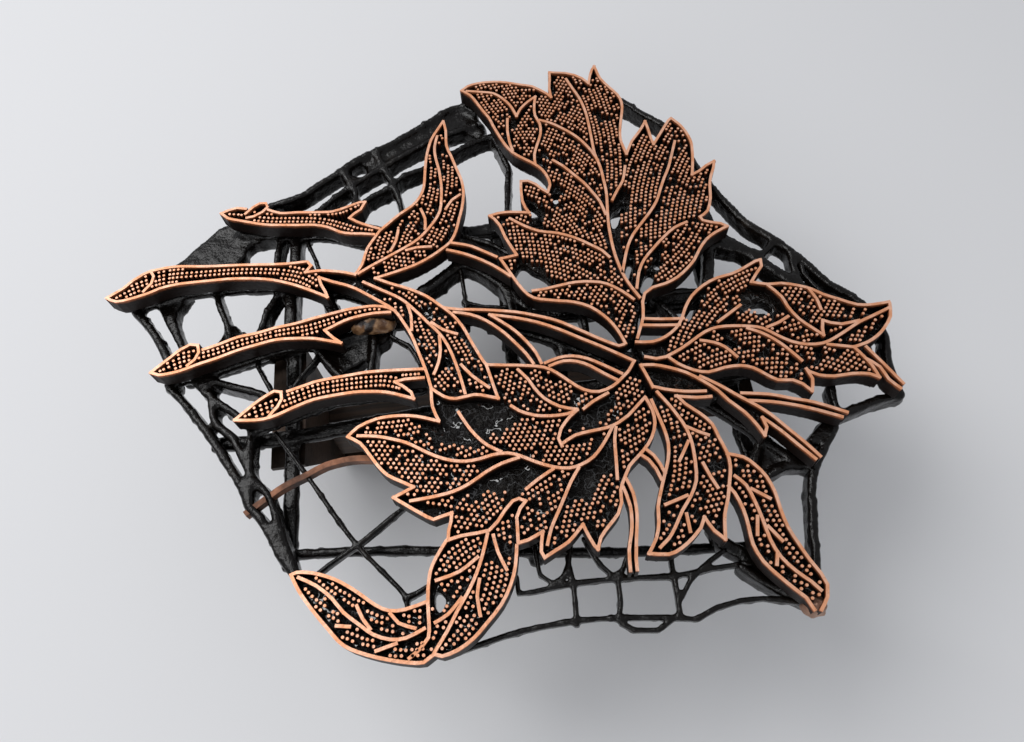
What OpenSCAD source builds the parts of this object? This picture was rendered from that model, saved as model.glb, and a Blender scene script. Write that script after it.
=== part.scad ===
// Batik stamp: a copper strip and wire stamp for wax, lying face up on its handle.
// X runs along the motif, Y away from the handle's near side, Z up to the print face.

/* [Print face] */
// Length of the printed motif along X
print_length = 205; // [190:1:225]
// Height of the strips and dots above the beds
print_depth = 5; // [4:0.5:9]
// Thickness of the copper strips, as they print
strip_t = 0.75; // [0.6:0.05:1]
// Diameter of a dot, the end of a copper wire
dot_d = 0.7; // [0.6:0.05:0.85]
// Distance from dot to dot along a row
dot_pitch = 1.2; // [1.1:0.05:2]
// Distance from row to row
row_pitch = 1.25; // [1.15:0.05:2]
// Free space between a dot and a strip
dot_gap = 0.15; // [0.05:0.05:0.4]
// How far a dot may stand off its place in the row, each way
dot_stray = 0.1; // [0:0.01:0.15]
// Share of the leaves' dots that have gone
dots_gone = 0.2; // [0:0.02:0.4]
// Thickness of the beds of pitch that hold the dots
bed_t = 1.5; // [1:0.25:3]

/* [Frame] */
// Height of the rim, struts and loops under the beds
frame_h = 6; // [4:0.5:9]
// Height of the webs that fill corners between the struts
web_h = 4.5; // [3:0.5:6]
// Thickness of the rim strips
rim_t = 1.9; // [1.4:0.1:2.4]
// Thickness of an ordinary strut
strut_t = 1.6; // [1.2:0.1:2.2]
// Thickness of a broad strut
broad_strut_t = 3; // [2.4:0.1:4]
// Thickness of the keels under the buds and leaves
keel_t = 2.4; // [2:0.1:3]
// Height of the keels, down from the foot of the beds
keel_h = 2.5; // [1.5:0.5:6]
// Thickness of the thin loops and wires
loop_t = 1; // [0.7:0.1:1.4]
// Thickness of the bent brace
brace_t = 1.5; // [1:0.1:2.5]
// Height of the thin loops and wires, down from the foot of the beds
loop_h = 2.5; // [1.5:0.25:6]
// Width of the flat bars under the struts
bar_w = 3.6; // [2.5:0.1:5]
// Width of the nearest upper bar
front_bar_w = 2; // [1.6:0.1:3]
// Thickness of the upper bars, which run along X
cross_bar_t = 2.5; // [2:0.1:3.5]
// Thickness of the lower bars, which run along Y
long_bar_t = 2.5; // [2:0.1:3.5]

/* [Handle] */
// Height of the handle, from the surface to the lower bars
handle_h = 46.5; // [42:0.5:60]
// Free length between the strap's legs
handle_l = 111; // [96:1:120]
// Thickness of the strap
strap_t = 1.6; // [1.2:0.1:2]
// Width of the strap where it meets the bars
strap_top_w = 35; // [28:1:40]
// Width of the strap along the surface
strap_foot_w = 16; // [16:1:24]
// Length of the flanges under the bars, from the legs outwards
flange_l = 9; // [7:0.5:12]
// Distance of the outer bars from the inside of the legs
bar_inset = 3; // [2.5:0.5:4.5]
// Height of the wooden grip
grip_h = 20; // [17:1:21]
// Width of the wooden grip
grip_w = 15; // [14:1:16]
// Radius of the grip's long edges
grip_round = 4; // [2:0.5:6]
// Diameter of a nail's shank
nail_d = 1.8; // [1.4:0.1:2.2]
// Length of a nail under its head
nail_l = 14; // [10:1:20]
// Diameter of a nail's head
nail_head_d = 4; // [3:0.1:4.5]
// Thickness of a nail's head
nail_head_t = 0.8; // [0.5:0.1:1.2]
// Distance between the two nails of one leg
nail_pitch = 9; // [7:1:10]

/* [Hidden] */

// Levels, from the surface up
long_bar_z = handle_h;
cross_bar_z = long_bar_z + long_bar_t;
frame_z = cross_bar_z + cross_bar_t;
bed_z = frame_z + frame_h;
print_z = bed_z + bed_t;
stamp_h = print_z + print_depth;

// The motif is laid out on a sheet of this length, and then brought to its real length
sheet_length = 205;
sheet_middle = [-4.54, 17.9];
motif = print_length / sheet_length;
// Chords that a smooth line is made of, on the beds and under them
chord = 2;
frame_chord = 4;

copper = [0.80, 0.47, 0.33];
black_pitch = [0.07, 0.06, 0.06];
brown_copper = [0.40, 0.29, 0.22];

// Lines

function place(p) = (p - sheet_middle) * motif;

function reversed(p) = [for (i = [len(p) - 1 : -1 : 0]) p[i]];

function unit(v) = v / norm(v);

function turned(v) = [-v[1], v[0]];

// The point at u, from 0 to 1, of the smooth line between p[i] and p[i + 1]
function between(p, i, u) =
    let (
        a = p[max(i - 1, 0)],
        b = p[i],
        c = p[i + 1],
        d = p[min(i + 2, len(p) - 1)]
    )
    (2 * b + (c - a) * u + (2 * a - 5 * b + 4 * c - d) * u * u + (3 * b - a - 3 * c + d) * u * u * u) / 2;

// A smooth line through the sheet points of a run
function smooth(run, step = chord) =
    let (p = [for (q = run) place(q)])
    len(p) == 2 ? p : [
        for (i = [0 : len(p) - 2])
            let (n = max(1, round(norm(p[i + 1] - p[i]) / step)))
            for (k = [0 : n - 1]) between(p, i, k / n),
        p[len(p) - 1]
    ];

function heading(p, i) = unit(p[min(i + 1, len(p) - 1)] - p[max(i - 1, 0)]);

// The line moved sideways, its ends lengthened by over
function beside(p, off, over) = [
    for (i = [0 : len(p) - 1])
        let (end = i == 0 ? -over : i == len(p) - 1 ? over : 0)
        p[i] + turned(heading(p, i)) * off + heading(p, i) * end
];

// A strip on edge along a run, seen from above
module strip(run, t = strip_t, step = chord) {
    p = smooth(run, step);
    polygon(concat(beside(p, t / 2, t / 2), reversed(beside(p, -t / 2, t / 2))));
}

module strips(runs, t = strip_t, step = chord) {
    for (run = runs) strip(run, t, step);
}

// An outline is a closed chain of [has a strip, run]
function with_strip(outline) = [for (part = outline) if (part[0] == 1) part[1]];

function closed_line(outline) = [for (part = outline) each smooth(part[1])];

module area(outline) {
    polygon(closed_line(outline));
}

// Straight-sided shapes on the sheet
module patches(outlines) {
    for (outline = outlines) polygon([for (q = outline) place(q)]);
}

// Distances and sides, for placing the dots

function from_piece(q, a, b) =
    let (
        d = b - a,
        u = min(1, max(0, (q - a) * d / (d * d)))
    )
    norm(q - a - d * u);

function from_line(q, p) = min([for (i = [0 : len(p) - 2]) from_piece(q, p[i], p[i + 1])]);

function crossings(q, p) = [
    for (i = [0 : len(p) - 1])
        let (
            a = p[i],
            b = p[(i + 1) % len(p)]
        )
        if ((a[1] > q[1]) != (b[1] > q[1]) && q[0] < a[0] + (b[0] - a[0]) * (q[1] - a[1]) / (b[1] - a[1])) 1
];

function inside(q, p) = len(crossings(q, p)) % 2 == 1;

function ring_closed(p) = concat(p, [p[0]]);

// The angle from a to b, seen from c
function angle_at(c, a, b) =
    let (
        u = a - c,
        v = b - c
    )
    atan2(u[0] * v[1] - u[1] * v[0], u * v);

// Rows of dots as arcs about the zone's centre. A zone is [centre, corners].
function rows_in(zone) =
    let (
        c = place(zone[0]),
        p = [for (q = zone[1]) place(q)],
        middle = [for (i = [0, 1]) max([for (q = p) q[i]]) + min([for (q = p) q[i]])] / 2,
        reach = [for (q = p) norm(q - c)],
        near = max(row_pitch, min(reach) - row_pitch * 4),
        turns = [for (q = p) angle_at(c, middle, q)],
        start = atan2(middle[1] - c[1], middle[0] - c[0])
    )
    [
        for (k = [ceil(near / row_pitch) : floor(max(reach) / row_pitch)])
            let (
                r = k * row_pitch,
                step = dot_pitch / r * 180 / PI,
                first = ceil(min(turns) / step)
            )
            for (m = [first : floor(max(turns) / step)])
                let (q = c + r * [cos(start + (m + (k % 2) / 2) * step), sin(start + (m + (k % 2) / 2) * step)])
                if (inside(q, p) && from_line(q, ring_closed(p)) > dot_pitch * 0.36) q
    ];

// Rows of dots beside a run, each row at so many row pitches to its left
function rows_beside(run, rows) = [for (k = rows) each beside(smooth(run, dot_pitch), k * row_pitch, 0)];

// Those of the places that are clear of the strips and the holes of a leaf or bud
function clear_places(places, outline, lines, holes) =
    let (
        edge = closed_line(outline),
        barriers = concat([ring_closed(edge)], [for (run = lines) smooth(run)]),
        gaps = [for (hole = holes) [for (q = hole) place(q)]],
        clear = dot_d / 2 + strip_t / 2 + dot_gap
    )
    [
        for (q = places)
            if (inside(q, edge)
                && min([for (p = barriers) from_line(q, p)]) > clear
                && len([for (p = gaps) if (inside(q, p) || from_line(q, ring_closed(p)) < dot_d / 2) 1]) == 0) q
    ];

module dots_at(places) {
    translate([0, 0, print_z])
        for (q = places)
            translate(q) cylinder(h = print_depth, d = dot_d, $fn = 24);
}

// A number from 0 to 1 that looks like chance, for a place and a count.
// The mix is large and uneven on purpose.
chance_mix = [79.2, 357.1, 97.3];
chance_gain = 4375.8;
function chance(q, k) =
    let (s = chance_gain * sin(chance_mix[0] * q[0] + chance_mix[1] * q[1] + chance_mix[2] * k))
    s - floor(s);

// Wires have gone from some patches of the leaves more than from others, by waves of so many degrees per mm
gone_wave = [20, 24];
function still_there(q) =
    chance(q, 3) > dots_gone * (1 + sin(gone_wave[0] * q[0]) * sin(gone_wave[1] * q[1]));

function strayed(q) = q + dot_stray * [2 * chance(q, 1) - 1, 2 * chance(q, 2) - 1];

module dots(zones, outline, lines, holes) {
    rows = [for (zone = zones) each rows_in(zone)];
    dots_at(clear_places([for (q = rows) if (still_there(q)) strayed(q)], outline, lines, holes));
}

module on_bed() {
    translate([0, 0, print_z]) linear_extrude(print_depth) children();
}

module under_print() {
    translate([0, 0, bed_z]) linear_extrude(bed_t) children();
}

module under_bed() {
    translate([0, 0, frame_z]) linear_extrude(frame_h) drawn_in() children();
}

// The frame's points were measured for a frame a little lower down, from above this sheet point.
// They are drawn in towards it to suit the frame's real level.
measured_over = [0, -92.5];
frame_share = 0.992;
module drawn_in() {
    over = place(measured_over);
    translate(over * (1 - frame_share)) scale([frame_share, frame_share]) children();
}

// Crown leaf, at the top

crown_outline = [
    [1, [[-5, 98.5], [-3, 100], [0, 100.7], [3.5, 100.7], [7, 100.2], [10.5, 99], [13, 98], [16.5, 96.7],
        [18.5, 95], [20.5, 93], [21.7, 91.2]]],
    [1, [[21.7, 91.2], [21.6, 95], [22.2, 98.5], [22.5, 101.7]]],
    [1, [[22.5, 101.7], [24.5, 101.2], [27.5, 100.5], [30, 99.2], [32, 97.5], [33.7, 95]]],
    [1, [[33.7, 95], [34.5, 98], [35.5, 100.5], [36.5, 102]]],
    [1, [[36.5, 102], [36.9, 99.5], [37.5, 96.5], [39.5, 92.5], [41.5, 89], [42.2, 85.5], [41.7, 82],
        [40.5, 77.5], [39.6, 73], [39.5, 70], [40.2, 65.5]]],
    [0, [[40.2, 65.5], [39, 61]]],
    [1, [[39, 61], [37.5, 56], [35.5, 53], [33.5, 49.7]]],
    [0, [[33.5, 49.7], [31.8, 48], [31.7, 40.5], [31.7, 33], [32.4, 27], [33.7, 22], [35.7, 17], [34.2, 12],
        [33.2, 8], [31.5, 5.5], [29.2, 4]]],
    [1, [[29.2, 4], [28.3, 7], [27, 10], [25, 13], [22, 16], [18, 18], [13, 19.2], [8, 20.7], [5.5, 23.5],
        [3.5, 27.5], [2, 31], [0.5, 34.4]]],
    [1, [[0.5, 34.4], [2.5, 34.6], [5, 35]]],
    [1, [[5, 35], [4, 37.5], [2.5, 41.5], [1.5, 45.5], [0.2, 48], [-1, 49.3]]],
    [1, [[-1, 49.3], [1.5, 49.8], [5, 49.7], [10, 48.7]]],
    [1, [[10, 48.7], [9.2, 50.5], [8.6, 53], [8.7, 57.5], [9, 60.2]]],
    [1, [[9, 60.2], [11, 60], [13, 58.5], [14.5, 56.5], [16, 55]]],
    [1, [[16, 55], [17, 57.5], [16.7, 60.5], [15.5, 63.5], [13.5, 66], [11, 68.2], [8, 71], [6, 74.5],
        [4.5, 78.5], [3.2, 82.5], [2.2, 86], [0.5, 89.5], [-1, 93], [-2.5, 96], [-5, 98.5]]]
];
crown_veins = [
    [[27.2, 98], [28.5, 94], [30, 89.5], [31, 84], [31.2, 78.5], [31.2, 73], [31.2, 67], [32, 62], [32.2, 57],
        [32.2, 52], [31.5, 46], [31, 40.5], [31, 33], [31.7, 27], [33, 22], [35.2, 17]],
    [[17.2, 82.5], [20, 81], [23, 78.5], [26, 75.5], [28.5, 72], [30.5, 68], [31.7, 64.5]],
    [[19, 66.5], [21.5, 64], [24, 60.5], [26.5, 57], [28.5, 53], [30, 49.5], [30.8, 45]],
    [[4.5, 47.5], [8, 44.5], [12, 42], [17, 40.5], [21.5, 38.2], [25, 35.5], [28, 33], [29.5, 30.7]],
    [[8, 23], [10.5, 23], [14.5, 23.5], [19.5, 24], [24, 23.5], [27.5, 22.3], [31, 19.5], [33.5, 16.7]],
    [[-3.4, 98], [-1.5, 97.5], [1.5, 96.7], [4.5, 95.7], [7, 93.2], [9, 90], [10, 87], [10.5, 85.2]],
    [[10.5, 85.2], [12, 88], [14.5, 90.5], [17, 92.2]],
    [[17, 92.2], [16.2, 88.5], [16, 84.5], [17, 81], [16.7, 77], [15.2, 73], [14, 69.5], [13.8, 66.2]],
    [[7.7, 84.5], [7.2, 80], [7.4, 75], [7.9, 72.1]]
];
crown_zones = [
    [[35, 104], [[-6, 99], [3, 97], [8, 93.5], [11, 85], [8, 84], [7, 78], [8, 70], [2, 80]]],
    [[10, 60], [[11, 84], [17, 93], [16.5, 84], [17.3, 80], [15, 72], [13, 66], [8, 71], [7.3, 79]]],
    [[10, 62], [[-6, 99], [0, 102], [12, 100], [22.5, 91], [23, 103], [28, 98], [31.2, 84], [31.2, 66],
        [24, 78], [16.8, 83], [17, 92.5], [11, 86], [6, 96]]],
    [[-60, 75], [[27, 102], [38, 104], [43, 86], [41, 64], [38, 56], [34, 50], [32.2, 52], [31.2, 67],
        [31.2, 84]]],
    [[4, 50], [[17.3, 82], [24, 77.5], [31.5, 65], [32, 52], [30.8, 46], [24, 61], [14, 68]]],
    [[-2, 32], [[14, 68], [24, 60.5], [30.8, 46], [31, 31], [21.5, 38.5], [10, 43], [4, 48], [10, 49],
        [8, 61]]],
    [[2, 2], [[0, 50], [4, 47.8], [12, 42], [21.5, 38], [29.5, 31], [31.5, 26], [33.5, 17], [24, 24],
        [8, 23], [0, 33]]],
    [[60, -6], [[5, 24], [20, 24], [29, 22], [34, 16.5], [33, 7], [29, 3], [22, 16], [8, 20]]]
];
crown_holes = [
    [[5.5, 33.4], [6.4, 34], [9.1, 30.9], [10.9, 29.7], [12.5, 27.7], [14.1, 25.6], [14, 24.7], [8, 24.4],
        [5.9, 25], [4.6, 27.3], [3.6, 30.4]],
    [[10.2, 53.8], [11.1, 53.8], [12.3, 52], [13.4, 49.7], [13.6, 46.5], [13, 44.3], [12, 43.8],
        [9.9, 45.2], [10.8, 48], [10.4, 50]],
    [[17, 56.5], [18.6, 56.8], [20, 56.1], [20.5, 55.2], [19.5, 53.8], [17.7, 52.9], [17.2, 54.7]],
    [[17, 71.1], [17.7, 69], [15.9, 67.9], [15.7, 66.1], [14.7, 65.8], [15, 69]],
    [[22, 51.5], [23.2, 52.3], [23.4, 50.5], [22.5, 49.6]]
];

// Shoulder leaf, right of the crown leaf

shoulder_outline = [
    [1, [[40.2, 65.5], [41.2, 67.5], [42.5, 70], [45, 73], [46.8, 75.5], [47.7, 77]]],
    [1, [[47.7, 77], [48, 74], [48.2, 70], [48.5, 67.9]]],
    [1, [[48.5, 67.9], [50, 70], [52.2, 73.1], [54.4, 76.2], [55.4, 77]]],
    [1, [[55.4, 77], [57.2, 74.4], [58.5, 71.2], [59.2, 67.5], [59, 64.4], [58.2, 60], [57, 55.1]]],
    [1, [[57, 55.1], [59.1, 56], [61.6, 57.8], [64.1, 59]]],
    [1, [[64.1, 59], [63.5, 56.9], [62, 53.7], [61, 50.6], [60.2, 46.2], [58.5, 42], [56, 40.2]]],
    [1, [[56, 40.2], [56.5, 38.9], [58.5, 38], [61, 37.2], [62.5, 36]]],
    [1, [[62.5, 36], [59, 34.5], [56, 32.5], [53.5, 29.5], [51.5, 26.5], [49, 24], [46, 21.7], [42.5, 20.2],
        [39, 19.5], [36.7, 18], [35.7, 15.5]]],
    [0, [[35.7, 15.5], [33, 19], [30.8, 26], [30, 33], [30, 42], [31, 50], [34, 56], [36.5, 61],
        [40.2, 65.5]]]
];
shoulder_veins = [
    [[54.7, 68], [53, 63.7], [51, 58.7], [49, 55], [47.2, 51.2], [45.5, 47.5], [43, 44], [39.7, 40.2],
        [37, 37], [35, 33.5], [33.5, 29.5], [32.2, 25.5]],
    [[52, 39], [48.5, 37.7], [45, 35], [41.5, 31.7], [38.5, 28.5], [36.5, 25], [35, 20]]
];
shoulder_zones = [
    [[110, 30], [[40, 65], [48, 78], [49, 68], [56, 78], [54.7, 68], [49, 55], [45.5, 47.5], [39.7, 40.2],
        [35, 33.5], [32.2, 25.5], [33, 38], [36, 51]]],
    [[120, 20], [[54.7, 68], [56, 78], [60, 67], [57, 55], [64.5, 60], [60, 46], [56, 40.3], [52, 39],
        [48.5, 37.7], [38.5, 28.5], [35, 20], [33, 28], [39.7, 40], [49, 55]]],
    [[20, 60], [[35.2, 19], [38.5, 28.5], [45, 35], [52, 39.2], [58, 39], [63, 36.5], [50, 24], [36, 16]]]
];
shoulder_holes = [
    [[32.4, 41], [33.9, 42.9], [35.9, 47.2], [36.9, 47.6], [38.2, 52.9], [38.1, 53.8], [37.2, 52.4],
        [35.9, 49.4], [34.2, 48.7], [32.9, 47.2], [32.3, 44.7]],
    [[41.9, 41.7], [43, 41.9], [45.8, 44.3], [46, 46], [44, 44.2]],
    [[35.9, 34.3], [38.9, 33.4], [37.3, 32.6], [35.6, 32.9]],
    [[46.4, 32.7], [47, 31.5], [44.8, 30.4], [44.3, 31.1], [45.5, 32]],
    [[43, 30], [43.4, 28.4], [43.2, 27.2], [41.8, 26.2], [40.9, 27.7], [41.6, 29]],
    [[35.9, 31.3], [34.9, 31.2], [34.2, 29.5], [33.3, 27.2], [33.2, 24], [34.1, 22.3], [34.9, 25.2],
        [35.5, 28.4]],
    [[40, 27], [41.1, 25.2], [39.5, 22], [38.2, 20.3], [36.4, 19.2], [36.3, 21.2], [37.3, 23.6],
        [38.4, 25.4]]
];

// Wing leaf, pointing right

wing_outline = [
    [1, [[32, 4], [36, 3.5], [39.5, 4.5], [42.5, 6.5], [44.5, 9], [46, 12], [48.5, 15.5], [52, 18.2],
        [56, 20], [60, 20.7], [63.5, 22], [67, 23.7], [68.5, 24]]],
    [1, [[68.5, 24], [68.3, 22], [66.5, 20], [64.5, 17.5]]],
    [1, [[64.5, 17.5], [68.5, 16.2], [72, 16], [76, 14.7], [79, 13.2], [81.5, 11.2], [85, 9.2], [89, 7],
        [93, 6.5], [97, 6.7]]],
    [0, [[97, 6.7], [96.5, 5]]],
    [1, [[96.5, 5], [91.5, 3.2], [88, 2], [85, 0.5], [81, -1.5], [77.5, -2.7], [73.5, -2.5], [70, -1.2],
        [67, 1], [64, 3.5], [61, 4.5], [57, 5.2], [53, 5.4], [49.5, 4.5], [46, 2.5], [42.5, 0.5],
        [38.5, -1.2]]],
    [1, [[38.5, -1.2], [36, -1.4], [33.5, -0.5]]],
    [0, [[33.5, -0.5], [32, 4]]]
];
wing_veins = [
    [[32.5, 5.2], [33.5, 7.5], [35, 11], [35.7, 15.5]],
    [[35, 10.5], [39.5, 9.7], [45, 9.1]],
    [[34.2, 8.7], [38.5, 8], [43.6, 7.4]],
    [[68.5, 15.8], [71, 12], [71.7, 9], [73.5, 5], [76, 2], [78.2, -0.5]],
    [[78.2, -0.5], [78.5, 1.5], [79.2, 3.7]],
    [[79.2, 3.7], [81, 2.7], [83.5, 2], [88, 2.4]],
    [[78.5, 13], [79.5, 10], [79.7, 7]],
    [[53.5, 7], [56, 8.5], [60, 11]],
    [[65.2, 3.7], [68.5, 4.7], [71, 6]]
];
wing_zones = [
    [[75, -15], [[44, 8], [46, 13], [52, 19], [69, 25], [65, 17.5], [61, 13], [60, 11], [53.5, 7],
        [50, 4], [42, 0.5], [38, -1], [40, 4]]],
    [[75, -15], [[53.5, 6.5], [60, 10.5], [69, 8], [72, 8], [76, 2], [78.2, -0.5], [73, -2.5], [64, 4]]],
    [[40, 40], [[65, 17.5], [69, 15], [72, 9], [79, -1], [80, 4], [88, 3], [98, 6], [89, 8], [76, 15.5]]],
    [[75, 30], [[79, -1], [80, 3], [88, 2], [98, 5.5], [84, 0], [78, -3]]]
];
wing_holes = [
    [[60.5, 12.2], [67, 12.8], [68.7, 11.2], [68.4, 8.6], [67.1, 8.2], [66.4, 9.4], [63.6, 9.8],
        [61.2, 10.9]],
    [[45.8, 10.4], [47.5, 13], [49.5, 15.3], [51.6, 16.9], [52.2, 15.8], [50, 13.6], [48.3, 11.4],
        [46.8, 9.2]],
    [[71.2, 1], [72.6, 2.3], [73.5, 1.2], [71.8, 0.2]]
];
tail_holes = [
    [[53.4, 2.6], [55.2, 3.2], [57.3, 1], [57.2, 0], [55.8, -0.7], [54.3, 0.6]]
];

// Tail leaf, below the wing leaf

tail_outline = [
    [0, [[38.5, -1.2], [42.5, 0.5], [46, 2.5], [49.5, 4.5], [53, 5.4], [57, 5.2], [61, 4.5], [64, 3.5],
        [67, 1], [70, -1.2], [73.5, -2.5], [77.5, -2.7], [81, -1.5], [85, 0.5], [88, 2], [91.5, 3.2],
        [96.5, 5]]],
    [0, [[96.5, 5], [97, 6]]],
    [1, [[97, 6], [96, 2.5], [93.5, -0.5], [91, -2.5], [88, -4], [84.5, -4.8]]],
    [1, [[84.5, -4.8], [86, -7.5], [87.3, -10.5], [88, -13.7]]],
    [1, [[88, -13.7], [86, -12.5], [82, -11.9], [77.5, -12], [74, -11.2], [72, -10], [71.5, -9.2]]],
    [1, [[71.5, -9.2], [72.2, -12], [71.2, -15.2]]],
    [1, [[71.2, -15.2], [69.5, -13], [67.5, -11.7], [64, -11.2], [61.5, -9.3], [59, -7.2], [56, -6.1],
        [52, -6.1], [48, -6.8], [44.5, -5.8], [41, -3.5], [39.2, -1.5]]],
    [0, [[39.2, -1.5], [38.5, -1.2]]]
];
tail_tip = [
    [1, [[86.4, -8.3], [89, -11], [90, -14.5], [92, -17.2]]],
    [0, [[92, -17.2], [93, -16]]],
    [1, [[93, -16], [91.5, -13], [90, -10], [87.5, -5.2]]],
    [0, [[87.5, -5.2], [86.4, -8.3]]]
];
tail_veins = [
    [[78.5, -3.2], [81.5, -4], [84.5, -4.8]],
    [[60.2, 4], [63, 2.5], [66, 0], [68.5, -3], [71, -6.7]],
    [[48, 2.2], [51, 1.2], [53.5, -0.5], [55.7, -3.5]]
];
tail_zones = [
    [[60, -40], [[38, -1], [50, 5], [61, 5], [66, 0], [71, -7], [71, -16], [58, -6], [44, -6]]],
    [[60, -40], [[66.5, 0], [71, -1.5], [79, -3.2], [85, -5], [88, -14], [72, -9.5], [71.3, -6.5]]],
    [[80, -40], [[79, -3], [85, -5], [98, 5], [88, 2], [81, -2]]]
];

// Broad leaf, in the middle of the lower side

broad_outline = [
    [1, [[-41.5, -12.4], [-39, -10.2], [-34.5, -8.6], [-29.5, -8.4], [-24.5, -9.2], [-19.2, -11.2]]],
    [0, [[-19.2, -11.2], [-20.5, -7], [-20.5, -2], [-17.5, -4.7], [-14.5, -5.7], [-10, -5.2], [-7, -6],
        [-4.2, -7], [-4.9, -4], [-5.7, 0], [-6.2, 2.7]]],
    [1, [[-6.2, 2.7], [-2, 2], [3, 1.2], [8, 0], [11, -2], [14, -5], [17, -7.5], [20.5, -8.5], [24, -7.5],
        [26.5, -5.7], [28.5, -4], [30.3, -1.5]]],
    [0, [[30.3, -1.5], [31.5, -5], [32, -8], [31.5, -12]]],
    [1, [[31.5, -12], [32.4, -15], [32.4, -18.5], [31, -22], [28.5, -25], [24.5, -28.5], [23, -31],
        [21.5, -34], [21.2, -37], [20, -39.5], [17.5, -42], [15.2, -44.5], [14.2, -47]]],
    [1, [[14.2, -47], [13.5, -46], [12.5, -43.5], [11.7, -41]]],
    [1, [[11.7, -41], [10.5, -42.2], [8, -44.5], [5, -46], [2.2, -47.4]]],
    [1, [[2.2, -47.4], [1.6, -46], [1.9, -44], [2.5, -41.5]]],
    [1, [[2.5, -41.5], [-1, -43], [-3.3, -43.4]]],
    [1, [[-3.3, -43.4], [-3.1, -40], [-3, -37.5], [-2, -35.5], [-0.5, -33.9]]],
    [1, [[-0.5, -33.9], [-2, -33.1], [-3.5, -33.5], [-5.5, -35.5], [-7.5, -38], [-9.5, -39.7], [-12, -40],
        [-16, -40.2], [-19, -40.8]]],
    [1, [[-19, -40.8], [-18.7, -38.5], [-18, -36.5], [-17.7, -34.6]]],
    [1, [[-17.7, -34.6], [-20, -35.1], [-22, -35.6], [-25, -33.7], [-28, -31.5], [-31, -29.2]]],
    [1, [[-31, -29.2], [-28.5, -28.2], [-26.2, -27.2]]],
    [1, [[-26.2, -27.2], [-29, -25.5], [-32.2, -23.5], [-34.5, -20.7], [-36.5, -17.5], [-38.5, -14.5],
        [-41.5, -12.4]]]
];
broad_veins = [
    [[-39, -12.5], [-34.5, -13.2], [-30.5, -14.5], [-27, -16], [-24, -18], [-20.5, -20.2], [-17, -21.7],
        [-13.5, -22.4], [-10, -22.2], [-7, -21.6], [-3.5, -21.6], [-0.5, -22.7], [3, -24.7], [7, -26.5],
        [10.5, -27.2], [13.5, -26.7], [16.5, -25.2], [19, -22.7], [21, -20], [22.2, -18.2]],
    [[-14.2, -9.5], [-12.5, -13], [-10.5, -16.2], [-8, -19], [-5, -21]],
    [[-1.2, -9.5], [0.5, -11], [4, -12.7], [8, -13.4], [12, -13.4], [14.5, -12.7]],
    [[1.5, 0.2], [3.5, -2.5], [5, -5.5], [7, -8.5], [10.5, -11.2], [14.5, -12.5]],
    [[14.5, -12.7], [12.5, -14.2], [10, -17], [9, -19.5], [9.6, -21.5]],
    [[9.6, -21], [13, -19.2], [17, -18.6], [21, -18.2], [24, -17.2], [26.5, -15.7], [29, -13.5],
        [31.3, -11.5]],
    [[16.2, -12.5], [18.5, -11], [22.5, -9.2]],
    [[23, -18.5], [22.2, -21.5], [21.7, -26.5], [21.2, -31.2]],
    [[-27, -30.5], [-22, -30.2], [-17, -29.5], [-13, -28], [-9, -25.7], [-5, -24], [-1, -23.1]],
    [[6.7, -27], [3, -29], [0, -31]],
    [[12.7, -27.5], [10.5, -30.5], [8.5, -34], [6.5, -37.5], [4.5, -41], [3.2, -44.5]]
];
broad_zones = [
    [[-30, 30], [[-42, -12.5], [-34, -8], [-27, -8.5], [-22, -13], [-19.5, -16.5], [-15, -17.5],
        [-10.8, -17.6], [-5, -21], [-14, -22], [-24, -18], [-34, -13]]],
    [[-70, 10], [[-42, -13], [-34, -13.5], [-24, -18.5], [-14, -23], [-11, -23.2], [-9, -25.5], [-17, -29.5],
        [-32, -30], [-27, -27]]],
    [[10, -60], [[-32, -29], [-17, -30.3], [-10, -30], [-4, -30.5], [-0.5, -31.5], [0, -34], [-12, -41],
        [-19, -42], [-18, -34]]],
    [[30, -80], [[0, -31], [7, -27], [12.5, -27.5], [3.2, -44.5], [2, -48], [-4, -44], [-1, -34]]],
    [[60, -60], [[17.5, -29.5], [21.3, -29], [21.2, -33], [21, -38], [14, -48], [12, -41], [2.5, -47],
        [6.5, -38], [10, -34.5], [14, -35]]],
    [[0, 40], [[23, -18], [31.5, -12], [33, -18], [21.3, -33], [22, -22]]],
    [[-30, 0], [[-13.2, -9.6], [-11.5, -12.8], [-9.3, -15.2], [-4.5, -16], [-0.5, -13.6], [0.2, -11.4],
        [4, -13], [8, -13.5], [14.5, -13], [9, -19.5], [9.6, -21.5], [22, -18.4], [19, -22.7], [16, -25.5],
        [10, -27.5], [-0.5, -23], [-5, -21], [-8, -19], [-10.5, -16.2], [-12.5, -13], [-14.3, -9.6]]],
    [[-40, 10], [[-6, 2.7], [1.5, 0.4], [7, -8.5], [14.5, -12.5], [4, -12.8], [-1, -9.5], [-4.2, -7]]],
    [[30, -40], [[1.5, 0.4], [9, 0], [20, -8.8], [16, -12.3], [12, -12], [5, -5.5]]],
    [[0, -60], [[25, -8], [27, -5], [31, -1], [32, -8], [31, -11.7], [26, -15.5], [22, -18], [10, -21],
        [9.5, -19], [12, -16.8], [13, -17.3], [17, -16.9], [20, -15.8], [21.5, -13], [23.5, -10]]]
];

// Foot leaf and heel leaf, at the lower left

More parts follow.
